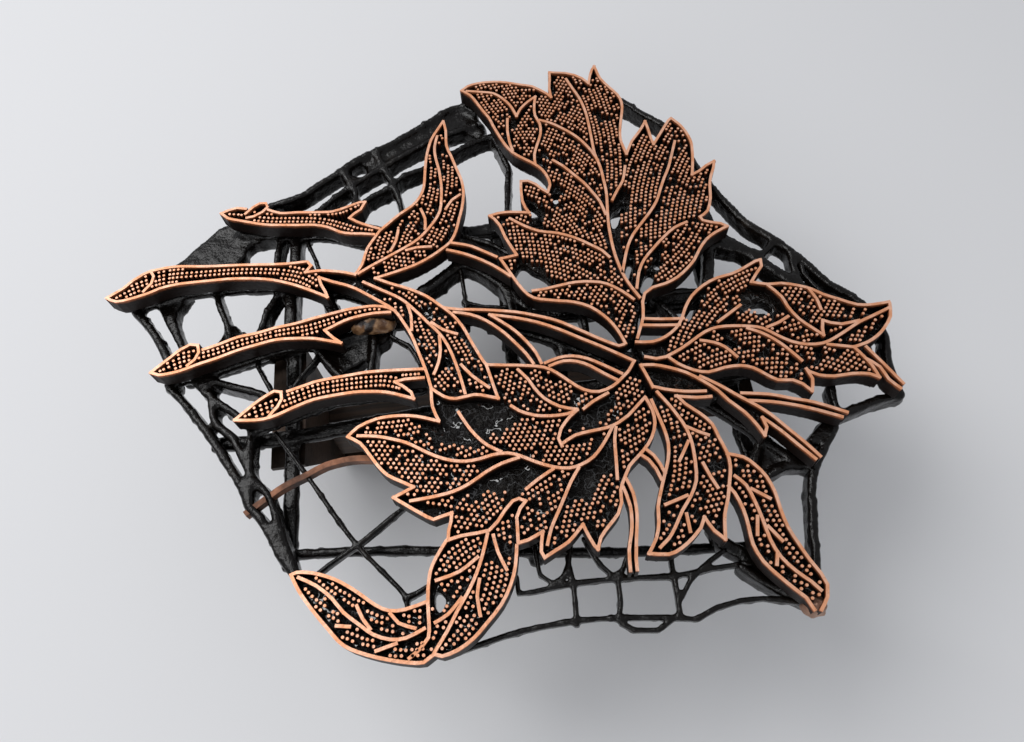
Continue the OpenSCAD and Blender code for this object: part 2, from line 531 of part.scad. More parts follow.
foot_outline = [
    [1, [[-54.7, -44.4], [-53.5, -44], [-50, -44.5], [-45, -46.5], [-40.5, -49.5], [-36, -53.2],
        [-33, -54.8], [-29.5, -55], [-25, -54]]],
    [0, [[-25, -54], [-24.4, -58.5], [-24.7, -61.5], [-23.7, -65]]],
    [1, [[-23.7, -65], [-26, -66.4], [-29.5, -66], [-33.5, -65], [-38, -63.5], [-43, -61], [-46.5, -57],
        [-50, -52.5], [-53, -48], [-54.7, -44.4]]]
];
foot_veins = [
    [[-53, -45.2], [-49, -47.5], [-45.5, -50.7], [-43, -54], [-39, -57.5], [-36.5, -59.5], [-33, -60.9],
        [-29.5, -61], [-25.5, -59.5]],
    [[-40, -53], [-38.7, -56], [-37.2, -58.2]],
    [[-32.7, -55.5], [-31, -57.7], [-27.5, -59.2]],
    [[-36, -62.9], [-31.7, -61.9]],
    [[-44.5, -56.7], [-41.7, -57.2]]
];
foot_zones = [
    [[-20, -20], [[-55, -44], [-46, -45], [-36, -53], [-25, -54], [-25.5, -59.5], [-31, -61], [-39, -57.5],
        [-45.5, -50.7]]],
    [[-25, -25], [[-55, -45], [-45.5, -51], [-39, -57.8], [-31, -61.2], [-25.5, -60], [-24, -66],
        [-36, -66], [-48, -57]]]
];
heel_outline = [
    [1, [[-19.5, -41], [-22, -44.5], [-23.5, -47.5], [-24.2, -51.5], [-24.4, -55], [-24.4, -58.5],
        [-24.7, -61.5], [-26.5, -63.5], [-29, -65.2]]],
    [0, [[-29, -65.2], [-26, -66], [-23.7, -65]]],
    [1, [[-23.7, -65], [-22, -65.6], [-18.5, -64.7], [-15, -62.7], [-12, -60], [-8.5, -56.5], [-6, -52.5],
        [-4.5, -48.5], [-3.7, -44]]],
    [0, [[-3.7, -44], [-3.1, -40], [-3, -37.5], [-2, -35.5], [-0.5, -33.9], [-2, -33.1], [-3.5, -33.5],
        [-5.5, -35.5], [-7.5, -38], [-9.5, -39.7], [-12, -40], [-16, -40.2], [-19.5, -41]]]
];
heel_veins = [
    [[-10, -40.5], [-11.5, -45], [-13.2, -49], [-15.5, -53], [-18, -56.5], [-20.5, -60.5], [-23.5, -64.5]],
    [[-12.7, -45.5], [-17, -48.2], [-22.2, -49.5]],
    [[-17, -54], [-20, -57], [-23, -58.5]],
    [[-8.7, -41], [-8, -45], [-6.5, -49]],
    [[-12.7, -50.5], [-13.5, -54], [-13.2, -58.2]]
];
heel_zones = [
    [[0, -70], [[-19.5, -41], [-10, -40], [-12, -45.5], [-16, -54], [-23.5, -64.5], [-29, -65.5],
        [-24, -61], [-24.5, -50]]],
    [[-40, -40], [[-10, -40.5], [-0.5, -33.5], [-3, -44], [-6, -53], [-13, -62], [-23.5, -65.5],
        [-16, -54], [-12, -46]]]
];
heel_holes = [
    [[-23.2, -51.2], [-21.9, -51.6], [-20.6, -53.4], [-21.4, -55.2], [-22.8, -56.6], [-23.3, -54]]
];

// Hanging leaf and corner leaf, at the lower right

hanging_outline = [
    [1, [[32.7, -12.5], [33.5, -16.5], [34.2, -20], [34.5, -24], [33.7, -28], [32.2, -31.5], [30.5, -35.5],
        [29.2, -39], [28.7, -42.5], [27.5, -46], [25.2, -49.3]]],
    [1, [[25.2, -49.3], [29.5, -50], [32.5, -49], [35.5, -47], [37.7, -45], [39, -42.7]]],
    [1, [[39, -42.7], [40.5, -46], [42.5, -48.2]]],
    [1, [[42.5, -48.2], [43, -45.5], [43.7, -42.5], [45.2, -39], [46.5, -35], [47.5, -31.5], [47.5, -28],
        [46.5, -24], [45.7, -20.5], [43.5, -17.5], [40.5, -14.5], [39, -12.2]]],
    [0, [[39, -12.2], [36, -9.5], [34, -9], [32.7, -12.5]]]
];
hanging_veins = [
    [[34, -9], [36.5, -10], [41, -11.2], [46, -11.8]],
    [[38.7, -12.2], [43.5, -13.2], [47, -13.4]],
    [[34.5, -10.5], [36.5, -14], [38.2, -17.5], [39.5, -21], [40, -25], [39.7, -30], [39, -34],
        [37, -37.5], [34.5, -40.5], [32.2, -44], [30.2, -46.5], [28, -48.2]],
    [[39.7, -20.5], [42, -22], [44.2, -23.2]],
    [[39.2, -24.2], [37.7, -26.5], [36.2, -28.7]],
    [[41.5, -30], [42.5, -33.5], [43.5, -36.2]],
    [[31, -38.7], [33.5, -38], [36.2, -37.2]],
    [[35.2, -41.5], [35.2, -45.5]]
];
hanging_zones = [
    [[0, -20], [[33, -12], [36.5, -14], [39.5, -21], [40, -27], [39, -34], [34.5, -40.5], [28, -48],
        [25, -50], [30, -36], [34.5, -24]]],
    [[10, -50], [[36, -11], [39, -12], [46, -20], [48, -30], [43, -49], [39, -42.5], [33, -50], [25, -50],
        [34.5, -40.7], [39, -34.5], [40, -25]]]
];
corner_outline = [
    [1, [[47.5, -28.4], [51, -29.7], [53.2, -32], [55, -35], [56, -39], [56.2, -43], [56.7, -47],
        [58, -51], [59.5, -55], [61, -58], [61.7, -60.5], [61, -63], [59, -65.5]]],
    [0, [[59, -65.5], [57.5, -65.3]]],
    [1, [[57.5, -65.3], [56.5, -62.7], [54.5, -60.5], [52, -57.5], [49.5, -54], [48.2, -50], [48.2, -46],
        [48, -42], [47, -38], [46, -36.2]]],
    [0, [[46, -36.2], [46.5, -35], [47.5, -31.5], [47.5, -28.4]]]
];
corner_veins = [
    [[48, -34], [50, -36.5], [51, -40.5], [51.7, -45], [52.2, -49.5], [53.5, -53.5], [56, -57],
        [58.5, -59.5], [60, -61.5]],
    [[51, -37.5], [54.5, -40.2]],
    [[52.5, -46.5], [54.7, -50]],
    [[50.7, -44], [49.7, -48]],
    [[53, -52.5], [52.2, -55]]
];
corner_zones = [
    [[20, -50], [[47, -32], [50, -36.5], [52, -47], [56, -57], [60.5, -62], [58, -66], [47, -50]]],
    [[90, -35], [[47, -28], [54, -32], [57, -46], [63, -60], [60, -62], [56, -57], [52, -47], [50, -36.5]]]
];

// Spear leaf, pointing up, and blade leaf, pointing down from it

spear_outline = [
    [1, [[-39, 35], [-37, 38], [-35.5, 43], [-33.3, 46.5], [-32, 48.5], [-29.5, 50.7], [-26, 53.7],
        [-22.5, 56], [-20, 59], [-18.7, 62.5], [-18.2, 66.5], [-17.7, 71], [-17, 75], [-15.5, 80],
        [-13.5, 83.5], [-11.5, 86.7]]],
    [1, [[-11.5, 86.7], [-11, 83], [-11.2, 77], [-10.2, 73], [-9, 68], [-7.7, 62.5], [-7.7, 57.5],
        [-8.5, 53], [-9.7, 49], [-10.7, 45.5], [-12.5, 42], [-15, 40], [-18, 38], [-22, 36], [-27, 34.5],
        [-33.5, 33]]],
    [0, [[-33.5, 33], [-39, 35]]]
];
spear_veins = [
    [[-13.7, 81], [-14.7, 77], [-14.7, 73], [-14, 68], [-13.7, 62.5], [-14, 57.5], [-14.7, 53], [-17, 49],
        [-21, 44.5], [-25, 42], [-29.5, 39.7], [-34.5, 37.2], [-38, 35.2]],
    [[-8.7, 58], [-11, 56.5], [-13, 53.5]],
    [[-20, 54.5], [-19, 51], [-19.2, 47.5]],
    [[-26.7, 48], [-27.5, 44.5], [-29, 41.5]],
    [[-24.7, 41], [-22, 41.5], [-18, 41.2]]
];
spear_zones = [
    [[-60, 70], [[-11, 88], [-19, 70], [-19, 62], [-22, 56.5], [-20, 54], [-19.2, 46.5], [-14.6, 53],
        [-13.8, 62], [-14.8, 75]]],
    [[-60, 70], [[-11, 88], [-14.8, 75], [-13.8, 62], [-14.6, 53], [-21, 44.4], [-18, 38], [-9.5, 49],
        [-7, 60]]],
    [[10, 30], [[-20.5, 56], [-24, 53.3], [-29, 49], [-33.5, 46], [-36, 42], [-39.5, 35], [-21, 44.6],
        [-19.3, 46.5], [-20, 54]]],
    [[-10, 90], [[-39.5, 35], [-21, 44.4], [-18, 38], [-33, 32]]]
];
blade_outline = [
    [1, [[-33.5, 33], [-29.5, 30.7], [-24.5, 28.2], [-20, 25.2], [-17, 22.2], [-14, 19], [-11.5, 15],
        [-9.5, 10], [-7, 4], [-6.3, 2.8]]],
    [1, [[-6.3, 2.8], [-5.7, 0], [-4.9, -4], [-4.2, -7]]],
    [1, [[-4.2, -7], [-7, -6], [-10, -5.2], [-14.5, -5.7], [-17.5, -4.7], [-20.5, -2]]],
    [1, [[-20.5, -2], [-21.5, 3], [-23.2, 9], [-24.7, 14], [-26.5, 18], [-28.7, 22], [-32, 25], [-36, 28.2],
        [-39, 30.5], [-42, 32.2], [-45, 33.5], [-48.8, 35.5]]],
    [0, [[-48.8, 35.5], [-39, 35], [-33.5, 33]]]
];
blade_veins = [
    [[-20.5, -2], [-20.5, -7], [-19.2, -11]],
    [[-36.7, 32.2], [-32, 29], [-27, 25.5], [-23.5, 21.5], [-20.5, 17.5], [-17.5, 13.5], [-15.5, 9.5],
        [-14, 4.5], [-13, 0], [-12.2, -4.5]],
    [[-25.2, 23], [-24.5, 20], [-24.5, 15.5]],
    [[-19.2, 17], [-16.5, 14.5], [-13, 12.7]],
    [[-17.5, 12.5], [-17.5, 8.5], [-18.2, 5], [-19.5, 2]],
    [[-12.5, 3.5], [-10, 0], [-6.2, -3.7]]
];
blade_zones = [
    [[-60, -10], [[-37, 32], [-34, 33], [-20, 26], [-13, 18], [-6, 3], [-4, -8], [-12.2, -4.5], [-14, 4.5],
        [-17.5, 13.5], [-23.5, 21.5]]],
    [[30, 30], [[-37, 32], [-24, 21.7], [-17.5, 13.3], [-14, 4.5], [-12.2, -5], [-21, -2], [-25, 13],
        [-32, 25]]]
];
blade_holes = [
    [[-17.3, 6.5], [-15.6, 6.8], [-15.2, 3.5], [-17, 3.2]]
];

// The four buds on the left, top to bottom

bud_1_outline = [
    [1, [[-77, 61.7], [-75, 59.7], [-72, 58.5], [-68.5, 57.2], [-64, 55.7], [-60, 55], [-55, 54.2],
        [-50, 53.5], [-46, 52], [-43, 50], [-40, 49], [-37, 48.5], [-33.5, 47.7]]],
    [0, [[-33.5, 47.7], [-32, 49.5]]],
    [1, [[-32, 49.5], [-35, 51], [-38, 52.7], [-40.2, 54.5]]],
    [1, [[-40.2, 54.5], [-39, 55.7], [-37, 57], [-35.7, 59.5]]],
    [1, [[-35.7, 59.5], [-37, 59.7], [-41, 58.5], [-45, 57.5], [-50, 58], [-55, 58.7], [-60, 59.2],
        [-63.5, 61]]],
    [0, [[-63.5, 61], [-63.7, 63], [-66, 63.7], [-68, 62.7], [-70, 62.3]]],
    [1, [[-70, 62.3], [-72.5, 63], [-75, 62.5], [-77, 61.7]]]
];
bud_1_hook = [
    [[-70, 60.5], [-68, 62.5], [-66, 63.7], [-64.2, 63.5], [-63.7, 62], [-65, 60.5], [-67.5, 59.2],
        [-69.5, 59]]
];
bud_2_outline = [
    [1, [[-106.8, 37.2], [-104, 35.6], [-100, 36], [-95, 37.2], [-92.5, 38.2], [-87.5, 38.9], [-80, 38.8],
        [-72.5, 38.5], [-65, 37.4], [-60, 36], [-55, 33.8], [-50, 31], [-46.5, 28.8]]],
    [1, [[-46.5, 28.8], [-47, 30.5], [-48.2, 33], [-48.8, 35.5]]],
    [0, [[-48.8, 35.5], [-44, 35.8], [-39, 35]]],
    [1, [[-39, 35], [-42, 36.2], [-45, 37], [-48.5, 37.7], [-52.5, 37.7]]],
    [1, [[-52.5, 37.7], [-51, 39.7]]],
    [1, [[-51, 39.7], [-52, 41.2], [-55, 41.2], [-60, 41.5], [-70, 42.7], [-80, 43.7], [-89, 44.9],
        [-95.4, 44.4]]],
    [1, [[-95.4, 44.4], [-97.5, 43.6], [-100, 42], [-102.5, 39.7], [-104.5, 38.5], [-106.8, 37.2]]]
];
bud_2_hook = [
    [[-95.4, 44.2], [-94.5, 42.5], [-94.9, 40.2], [-96.8, 37.9]]
];
bud_3_outline = [
    [1, [[-92.2, 12.2], [-90, 11.2], [-85, 11.6], [-80, 13], [-75, 14.2], [-70, 15.7], [-65, 16.7],
        [-60, 17.5], [-55, 17.2], [-50, 16.5], [-46, 15.2], [-43, 14.2]]],
    [1, [[-43, 14.2], [-45, 16], [-47.2, 18.6]]],
    [1, [[-47.2, 18.6], [-45, 19.5], [-42, 20.8], [-39, 21.5], [-34, 22], [-30, 21.7]]],
    [0, [[-30, 21.7], [-28.7, 22]]],
    [1, [[-28.7, 22], [-30.5, 23.2], [-34, 24.2], [-40, 24.2], [-45, 23.5], [-50, 22.7], [-55, 21.7],
        [-60, 21.2], [-65, 20.2], [-70, 19.7], [-75, 18.2], [-79, 17.2]]],
    [0, [[-79, 17.2], [-80.5, 18.7]]],
    [1, [[-80.5, 18.7], [-82.5, 19.2], [-85, 18], [-87.5, 16], [-90, 14], [-92.2, 12.2]]]
];
bud_3_hook = [
    [[-80.5, 18.7], [-80.1, 16.5], [-81, 14.5], [-82.8, 13]]
];
bud_4_outline = [
    [1, [[-69.6, -4.2], [-66.5, -4.7], [-62.5, -4.9], [-59, -4.2], [-55, -2.7], [-50, -1.2], [-45, -0.7],
        [-40, -0.5], [-37, -0.7], [-32, -1.5], [-28, -3], [-25, -4.3]]],
    [1, [[-25, -4.3], [-25.5, -2.5], [-27.5, -0.5], [-29.5, 1]]],
    [1, [[-29.5, 1], [-27, 1.4], [-22.3, 1.2]]],
    [0, [[-22.3, 1.2], [-22.3, 3.7]]],
    [1, [[-22.3, 3.7], [-27, 4.1], [-32, 4.5], [-37, 4.7], [-40, 4.5], [-45, 4.2], [-50, 3.7], [-52.5, 3],
        [-56.5, 2]]],
    [0, [[-56.5, 2], [-58.2, 2]]],
    [1, [[-58.2, 2], [-60, 2.5], [-62.5, 1.2], [-65, -0.5], [-67.5, -2.5], [-69.6, -4.2]]]
];
bud_4_hook = [
    [[-58.2, 2], [-58, 0], [-59, -2], [-60, -3], [-61, -4.3]]
];
bud_outlines = [bud_1_outline, bud_2_outline, bud_3_outline, bud_4_outline];
bud_hooks = [bud_1_hook, bud_2_hook, bud_3_hook, bud_4_hook];
// The rows of dots of each bud: [run, rows beside it]
bud_rows = [
    [
        [[[-75.4, 61.2], [-72, 60.5], [-68, 59.2], [-62, 57.7], [-56, 56.8], [-50, 55.8], [-46, 54.6],
            [-42, 52.7], [-38, 50.6], [-34, 49.2]], [-1, 0]],
        [[[-68.2, 61.2], [-65.8, 60], [-60, 58.7], [-55, 57.9], [-50, 57.1], [-44, 56.5], [-41, 57.1],
            [-37.6, 58.6]], [0]]
    ],
    [
        [[[-105, 37], [-100, 39.6], [-95, 41.1], [-90, 41.8], [-80, 41.3], [-70, 40.6], [-60, 39],
            [-54, 37], [-50, 34.3], [-47.5, 31.5]], [-1.6, -0.5, 0.5, 1.6]]
    ],
    [
        [[[-90, 12.9], [-85, 14.7], [-80, 15.4], [-75, 16.3], [-70, 17.7], [-65, 18.6], [-60, 19.4],
            [-52, 19.9], [-45, 21.3], [-38, 22.9], [-31, 22.6]], [-1.5, -0.5, 0.5, 1.5]],
        [[[-39, 22.8], [-36.5, 23.2], [-34, 23.2], [-31.8, 22.7]], [0]]
    ],
    [
        [[[-67, -3.5], [-63, -2.3], [-59, -1.2], [-56, -0.2], [-50, 1.4], [-45, 1.9], [-38, 2], [-32, 1.6],
            [-28, 0.2]], [-1, 0, 1]],
        [[[-27.4, 2.6], [-25.4, 2.5], [-23.4, 2.4]], [0]]
    ]
];

// Stems between the leaves

near_stem = [
    [1, [[-12.5, 41.7], [-10, 40.9], [-7, 39.7], [-3, 37], [-0.5, 35.2]]],
    [0, [[-0.5, 35.2], [2.5, 28.5]]],
    [1, [[2.5, 28.5], [-0.5, 31.5], [-4.5, 34.7], [-9.5, 37.7], [-13.5, 39.4]]],
    [0, [[-13.5, 39.4], [-12.5, 41.7]]]
];
long_stem = [
    [1, [[-15.5, 21], [-12, 20], [-7, 19.2], [-2, 18.2], [3, 17], [8, 15.2], [13, 13], [18, 9.7],
        [23, 6.2], [27.5, 3.5], [28.6, 3.7]]],
    [0, [[28.6, 3.7], [31.5, 3], [31.8, 0], [30.5, -1.3]]],
    [1, [[30.5, -1.3], [28, 0.5], [23, 4], [18, 7.2], [13, 10.5], [8, 13.2], [3, 15.2], [-2, 16.7],
        [-4, 17.2]]],
    [0, [[-4, 17.2], [-9, 18], [-13.2, 19.3]]],
    [0, [[-13.2, 19.3], [-15.5, 21]]]
];
down_stem = [
    [1, [[-13.2, 19.3], [-9, 18], [-5, 15.5], [-1, 11.5], [2, 7.5], [4, 4.5], [5.5, 1.5]]],
    [0, [[5.5, 1.5], [7.5, 1.3]]],
    [1, [[7.5, 1.3], [6.5, 4.5], [4.5, 8], [2, 11.5], [-1, 14.5], [-4, 17.2]]],
    [0, [[-4, 17.2], [-13.2, 19.3]]]
];
bract = [
    [1, [[8.5, 1.2], [12, 2.2], [15.5, 2.2], [19, 1], [22.5, -1.2], [26.8, -4.3]]],
    [0, [[26.8, -4.3], [25.5, -6]]],
    [1, [[25.5, -6], [22.5, -3.7], [19.5, -1.2], [16.5, 0.5], [13, 1.1], [9.5, 0.2]]],
    [0, [[9.5, 0.2], [8.5, 1.2]]]
];
fork = [
    [1, [[32, -2.7], [35, -3], [38.5, -4.2], [42.5, -6.2], [46, -9], [49, -12], [51, -15], [54, -18.5],
        [56, -22], [57.2, -25]]],
    [1, [[57.2, -25], [58.2, -23], [57.8, -20.5]]],
    [1, [[57.8, -20.5], [61, -24], [64, -28], [67.2, -32.2]]],
    [0, [[67.2, -32.2], [68.4, -31.7]]],
    [1, [[68.4, -31.7], [66, -28], [63, -24], [60, -20], [57, -17], [54, -14.5], [49.5, -10.5],
        [45.7, -7.7]]],
    [0, [[45.7, -7.7], [44, -5.5], [39, -1.5], [34, -0.7], [32, -2.7]]]
];
fork_root = [
    [1, [[31.9, -2.7], [32.6, -5], [33.7, -9]]],
    [0, [[33.7, -9], [38, -10.4], [43, -11.4], [47, -13.4], [50, -12.6], [46, -9.2], [42.5, -6.4],
        [38.5, -4.3], [35, -3.1], [31.9, -2.7]]]
];
side_twig = [
    [1, [[54.5, -13.5], [61, -14.7], [66, -16.5], [71, -18.2], [77.7, -21.7]]],
    [0, [[77.7, -21.7], [76.2, -22.7]]],
    [1, [[76.2, -22.7], [71, -20.2], [66, -18.2], [61, -16.7], [56, -15.7]]],
    [0, [[56, -15.7], [54.5, -13.5]]]
];
drop_twig = [
    [1, [[22.2, -33.5], [23, -38], [22.5, -43], [21, -48], [20.5, -52.5]]],
    [0, [[20.5, -52.5], [22, -52.5]]],
    [1, [[22, -52.5], [22.2, -50], [23.2, -45], [24.2, -40], [24.2, -35], [23.2, -31.5]]],
    [0, [[23.2, -31.5], [22.2, -33.5]]]
];
small_twig = [
    [1, [[27.5, -25.9], [29.2, -27.5], [30.5, -30], [31.2, -32.6]]],
    [0, [[31.2, -32.6], [32.2, -31.8]]],
    [1, [[32.3, -31.2], [31.6, -28.8], [30.6, -26.6], [29.2, -25]]],
    [0, [[29.2, -25], [27.5, -25.9]]]
];
middle_stems = [near_stem, long_stem, down_stem, bract];
forked_stems = [fork, fork_root, side_twig, drop_twig, small_twig, tail_tip];

leaf_outlines = [
    crown_outline, shoulder_outline, wing_outline, tail_outline, broad_outline, foot_outline,
    heel_outline, hanging_outline, corner_outline, spear_outline, blade_outline
];

// The edge strips of the leaves up to the given number, which later pieces are cut against
module earlier_edges(last) {
    for (i = [0 : 1 : last]) strips(with_strip(leaf_outlines[i]));
}

module all_edges() {
    earlier_edges(len(leaf_outlines) - 1);
}

module leaf_edge(i) {
    color(copper) on_bed() difference() {
        strips(with_strip(leaf_outlines[i]));
        earlier_edges(i - 1);
    }
}

module leaf_veins(veins) {
    color(copper) on_bed() difference() {
        strips(veins);
        all_edges();
    }
}

module crown_leaf_edge() leaf_edge(0);
module crown_leaf_veins() leaf_veins(crown_veins);
module crown_leaf_dots() color(copper) dots(crown_zones, crown_outline, crown_veins, crown_holes);
module shoulder_leaf_edge() leaf_edge(1);
module shoulder_leaf_veins() leaf_veins(shoulder_veins);
module shoulder_leaf_dots() {
    color(copper) dots(shoulder_zones, shoulder_outline, shoulder_veins, shoulder_holes);
}
module wing_leaf_edge() leaf_edge(2);
module wing_leaf_veins() leaf_veins(wing_veins);
module wing_leaf_dots() color(copper) dots(wing_zones, wing_outline, wing_veins, wing_holes);
module tail_leaf_edge() leaf_edge(3);
module tail_leaf_veins() leaf_veins(tail_veins);
module tail_leaf_dots() color(copper) dots(tail_zones, tail_outline, tail_veins, tail_holes);
module broad_leaf_edge() leaf_edge(4);
module broad_leaf_veins() leaf_veins(broad_veins);
module broad_leaf_dots() color(copper) dots(broad_zones, broad_outline, broad_veins, []);
module foot_leaf_edge() leaf_edge(5);
module foot_leaf_veins() leaf_veins(foot_veins);
module foot_leaf_dots() color(copper) dots(foot_zones, foot_outline, foot_veins, []);
module heel_leaf_edge() leaf_edge(6);
module heel_leaf_veins() leaf_veins(heel_veins);
module heel_leaf_dots() color(copper) dots(heel_zones, heel_outline, heel_veins, heel_holes);
module hanging_leaf_edge() leaf_edge(7);
module hanging_leaf_veins() leaf_veins(hanging_veins);
module hanging_leaf_dots() color(copper) dots(hanging_zones, hanging_outline, hanging_veins, []);
module corner_leaf_edge() leaf_edge(8);
module corner_leaf_veins() leaf_veins(corner_veins);
module corner_leaf_dots() color(copper) dots(corner_zones, corner_outline, corner_veins, []);
module spear_leaf_edge() leaf_edge(9);
module spear_leaf_veins() leaf_veins(spear_veins);
module spear_leaf_dots() color(copper) dots(spear_zones, spear_outline, spear_veins, []);
module blade_leaf_edge() leaf_edge(10);
module blade_leaf_veins() leaf_veins(blade_veins);
module blade_leaf_dots() color(copper) dots(blade_zones, blade_outline, blade_veins, blade_holes);

module bud_edges() {
    color(copper) on_bed() difference() {
        for (i = [0 : len(bud_outlines) - 1]) {
            strips(with_strip(bud_outlines[i]));
            strips(bud_hooks[i]);
        }
        all_edges();
        strips(blade_veins);
        strips(spear_veins);
    }
}

module bud_dots() {
    color(copper) for (i = [0 : len(bud_outlines) - 1]) {
        places = [for (part = bud_rows[i]) each rows_beside(part[0], part[1])];
        dots_at(clear_places(places, bud_outlines[i], bud_hooks[i], []));
    }
}

module stems_against_leaves(stems) {
    color(copper) on_bed() difference() {
        for (stem = stems) strips(with_strip(stem));
        all_edges();
        strips(hanging_veins);
        strips(tail_veins);
    }
}

module middle_stem_strips() stems_against_leaves(middle_stems);
module forked_stem_strips() stems_against_leaves(forked_stems);

// Beds of pitch

module north_bed_plan() {
    difference() {
        union() {
            area(crown_outline);
            area(shoulder_outline);
        }
        patches(crown_holes);
        patches(shoulder_holes);
    }
}

module east_bed_plan() {
    difference() {
        union() {
            area(wing_outline);
            area(tail_outline);
        }
        patches(wing_holes);
        patches(tail_holes);
        area(shoulder_outline);
        area(crown_outline);
    }
}

module south_bed_plan() {
    difference() {
        union() {
            area(broad_outline);
            area(hanging_outline);
            area(corner_outline);
        }
        area(tail_outline);
    }
}

module foot_bed_plan() {
    difference() {
        union() {
            area(foot_outline);
            area(heel_outline);
        }
        patches(heel_holes);
        area(broad_outline);
    }
}

module west_bed_plan() {
    difference() {
        union() {
            area(spear_outline);
            area(blade_outline);
        }
        patches(blade_holes);
        area(broad_outline);
    }
}

module bud_beds_plan() {
    difference() {
        for (outline = bud_outlines) area(outline);
        area(spear_outline);
        area(blade_outline);
    }
}

module stem_beds_plan() {
    difference() {
        for (stem = concat(middle_stems, forked_stems)) area(stem);
        for (outline = leaf_outlines) area(outline);
    }
}

module north_bed() color(black_pitch) under_print() north_bed_plan();
module east_bed() color(black_pitch) under_print() east_bed_plan();
module south_bed() color(black_pitch) under_print() south_bed_plan();
module foot_bed() color(black_pitch) under_print() foot_bed_plan();
module west_bed() color(black_pitch) under_print() west_bed_plan();
module bud_beds() color(black_pitch) under_print() bud_beds_plan();
module stem_beds() color(black_pitch) under_print() stem_beds_plan();

// Frame under the beds

rim_runs = [
    [[-70, 61], [-66, 69.5], [-61, 70.5], [-55, 72.8], [-50, 76.3], [-44.5, 79.8], [-39.5, 83.4],
        [-34, 86], [-28, 88.8], [-22, 92.3], [-15.5, 96.2], [-10.5, 99.5], [-4.5, 100.5], [-2, 97.5]],
    [[-103, 37.5], [-98, 31], [-94, 24], [-91, 17], [-90, 13]],
    [[-91.7, 12.8], [-85.8, 5.6], [-79.2, -3.7], [-74, -12.3], [-70, -18.9], [-68.3, -24], [-66, -26.3],
        [-62, -32.7], [-60, -37.4], [-56.7, -41.9], [-52.5, -46.5]],
    [[30, 98], [38, 97.5], [44.4, 94.5], [49, 88.8], [55.4, 82], [58.5, 75], [60.5, 69], [62.8, 60.5],
        [66, 52.5], [71, 42.4], [76, 37.2], [82, 29.3], [87.8, 19.3], [92, 15.2], [95, 11], [95, 5]],
    [[94, 4], [97.5, 3], [96, -4], [95.5, -11.5], [96, -15.5]],
    [[96, -15.3], [88.8, -16.2], [83.6, -17.7], [79.4, -18.8], [75.2, -20.9], [71, -24.5]],
    [[77.3, -21.9], [73.1, -27.1], [69, -32.4], [66.9, -38.6], [64.8, -48], [63.2, -55.4], [60, -61]]
];
wall_runs = [
    [[-55, 57.5], [-52, 64.5], [-43, 72.5], [-33, 78.5], [-27, 82], [-21.5, 85], [-15, 88.5], [-9, 90],
        [-2, 92]],
    [[-44, 56.5], [-40, 62], [-37.5, 67], [-30.5, 70.8], [-25.5, 74.7], [-18.5, 77], [-11, 81],
        [-4.5, 84.5], [3, 86.8]],
    [[3, 86], [5, 78], [6.3, 73.2], [5.7, 67.5], [4.3, 57.5], [4, 48]],
    [[-81, 13], [-73, 9.5], [-66, 6.5], [-61, 0]],
    [[-84, 12.5], [-81.3, 9], [-73.3, 2], [-68, -3.5]],
    [[-84, 14], [-80, 9], [-78.5, 0.5], [-73, -5], [-70, -12], [-67, -17.5], [-63.5, -21.5], [-61, -29],
        [-57, -40]],
    [[77, 36], [75, 33], [73, 31.4], [66, 33.8], [60, 36.5]]
];
strut_runs = [
    [[-34, 86], [-31, 78], [-28, 70], [-26.5, 61], [-25, 52]],
    [[-44, 80], [-42.5, 76], [-40, 70], [-41, 65], [-44, 57]],
    [[-62, 58.5], [-63, 52.5], [-63.5, 46.5]],
    [[-81, 42.5], [-79, 35.5], [-77, 30.5], [-75.5, 25.5], [-75, 19]],
    [[-62, 42.5], [-63, 37], [-65.5, 32.5], [-66.5, 29], [-67.5, 23.5]],
    [[-52, 19.5], [-49, 14], [-45.5, 9.5], [-43.5, 5]],
    [[-36.5, 22], [-36, 18], [-36.5, 13], [-38, 6]],
    [[-68.5, -3], [-68.5, -14], [-68, -24]],
    [[-10, 50], [-2, 46], [4, 41]],
    [[40, 22], [47, 22.5], [53, 21.8]],
    [[42, 19.5], [45, 14.5], [46, 9]],
    [[79.4, -11], [79, -18.4]],
    [[58.5, -31.9], [62.7, -30.3], [69, -30.7]],
    [[60, -21], [56.4, -27.1], [54.5, -33]],
    [[80.5, 30.5], [80, 25.5], [80.5, 20], [82, 13]],
    [[0, 31], [2, 22], [-1, 14]],
    [[20, 24], [21, 15], [20, 7]],
    [[12, 14], [14, 6], [12, -2]],
    [[24, 4], [25, -2], [26, -8]],
    [[46.7, -53], [52, -57.7], [59.3, -62.3]]
];
broad_runs = [
    [[-58, 57.5], [-58, 52.5], [-58, 45.5]],
    [[-59.5, 40.5], [-59, 33.5], [-59, 23.5]],
    [[-52, 39.5], [-49, 34.5], [-47, 30], [-46, 25.5]],
    [[59, 39.5], [58, 32.5], [56, 24.5]],
    [[-24, 31.4], [-17, 36], [-10.5, 40.8]],
    [[-11, 41.5], [-6, 38], [0.5, 31.4], [6, 24]],
    [[56, 44.5], [63, 38.5], [69, 32.5], [75, 25], [81, 18], [85.5, 11], [88, 4]],
    [[58, 57], [60, 48], [62, 37]]
];
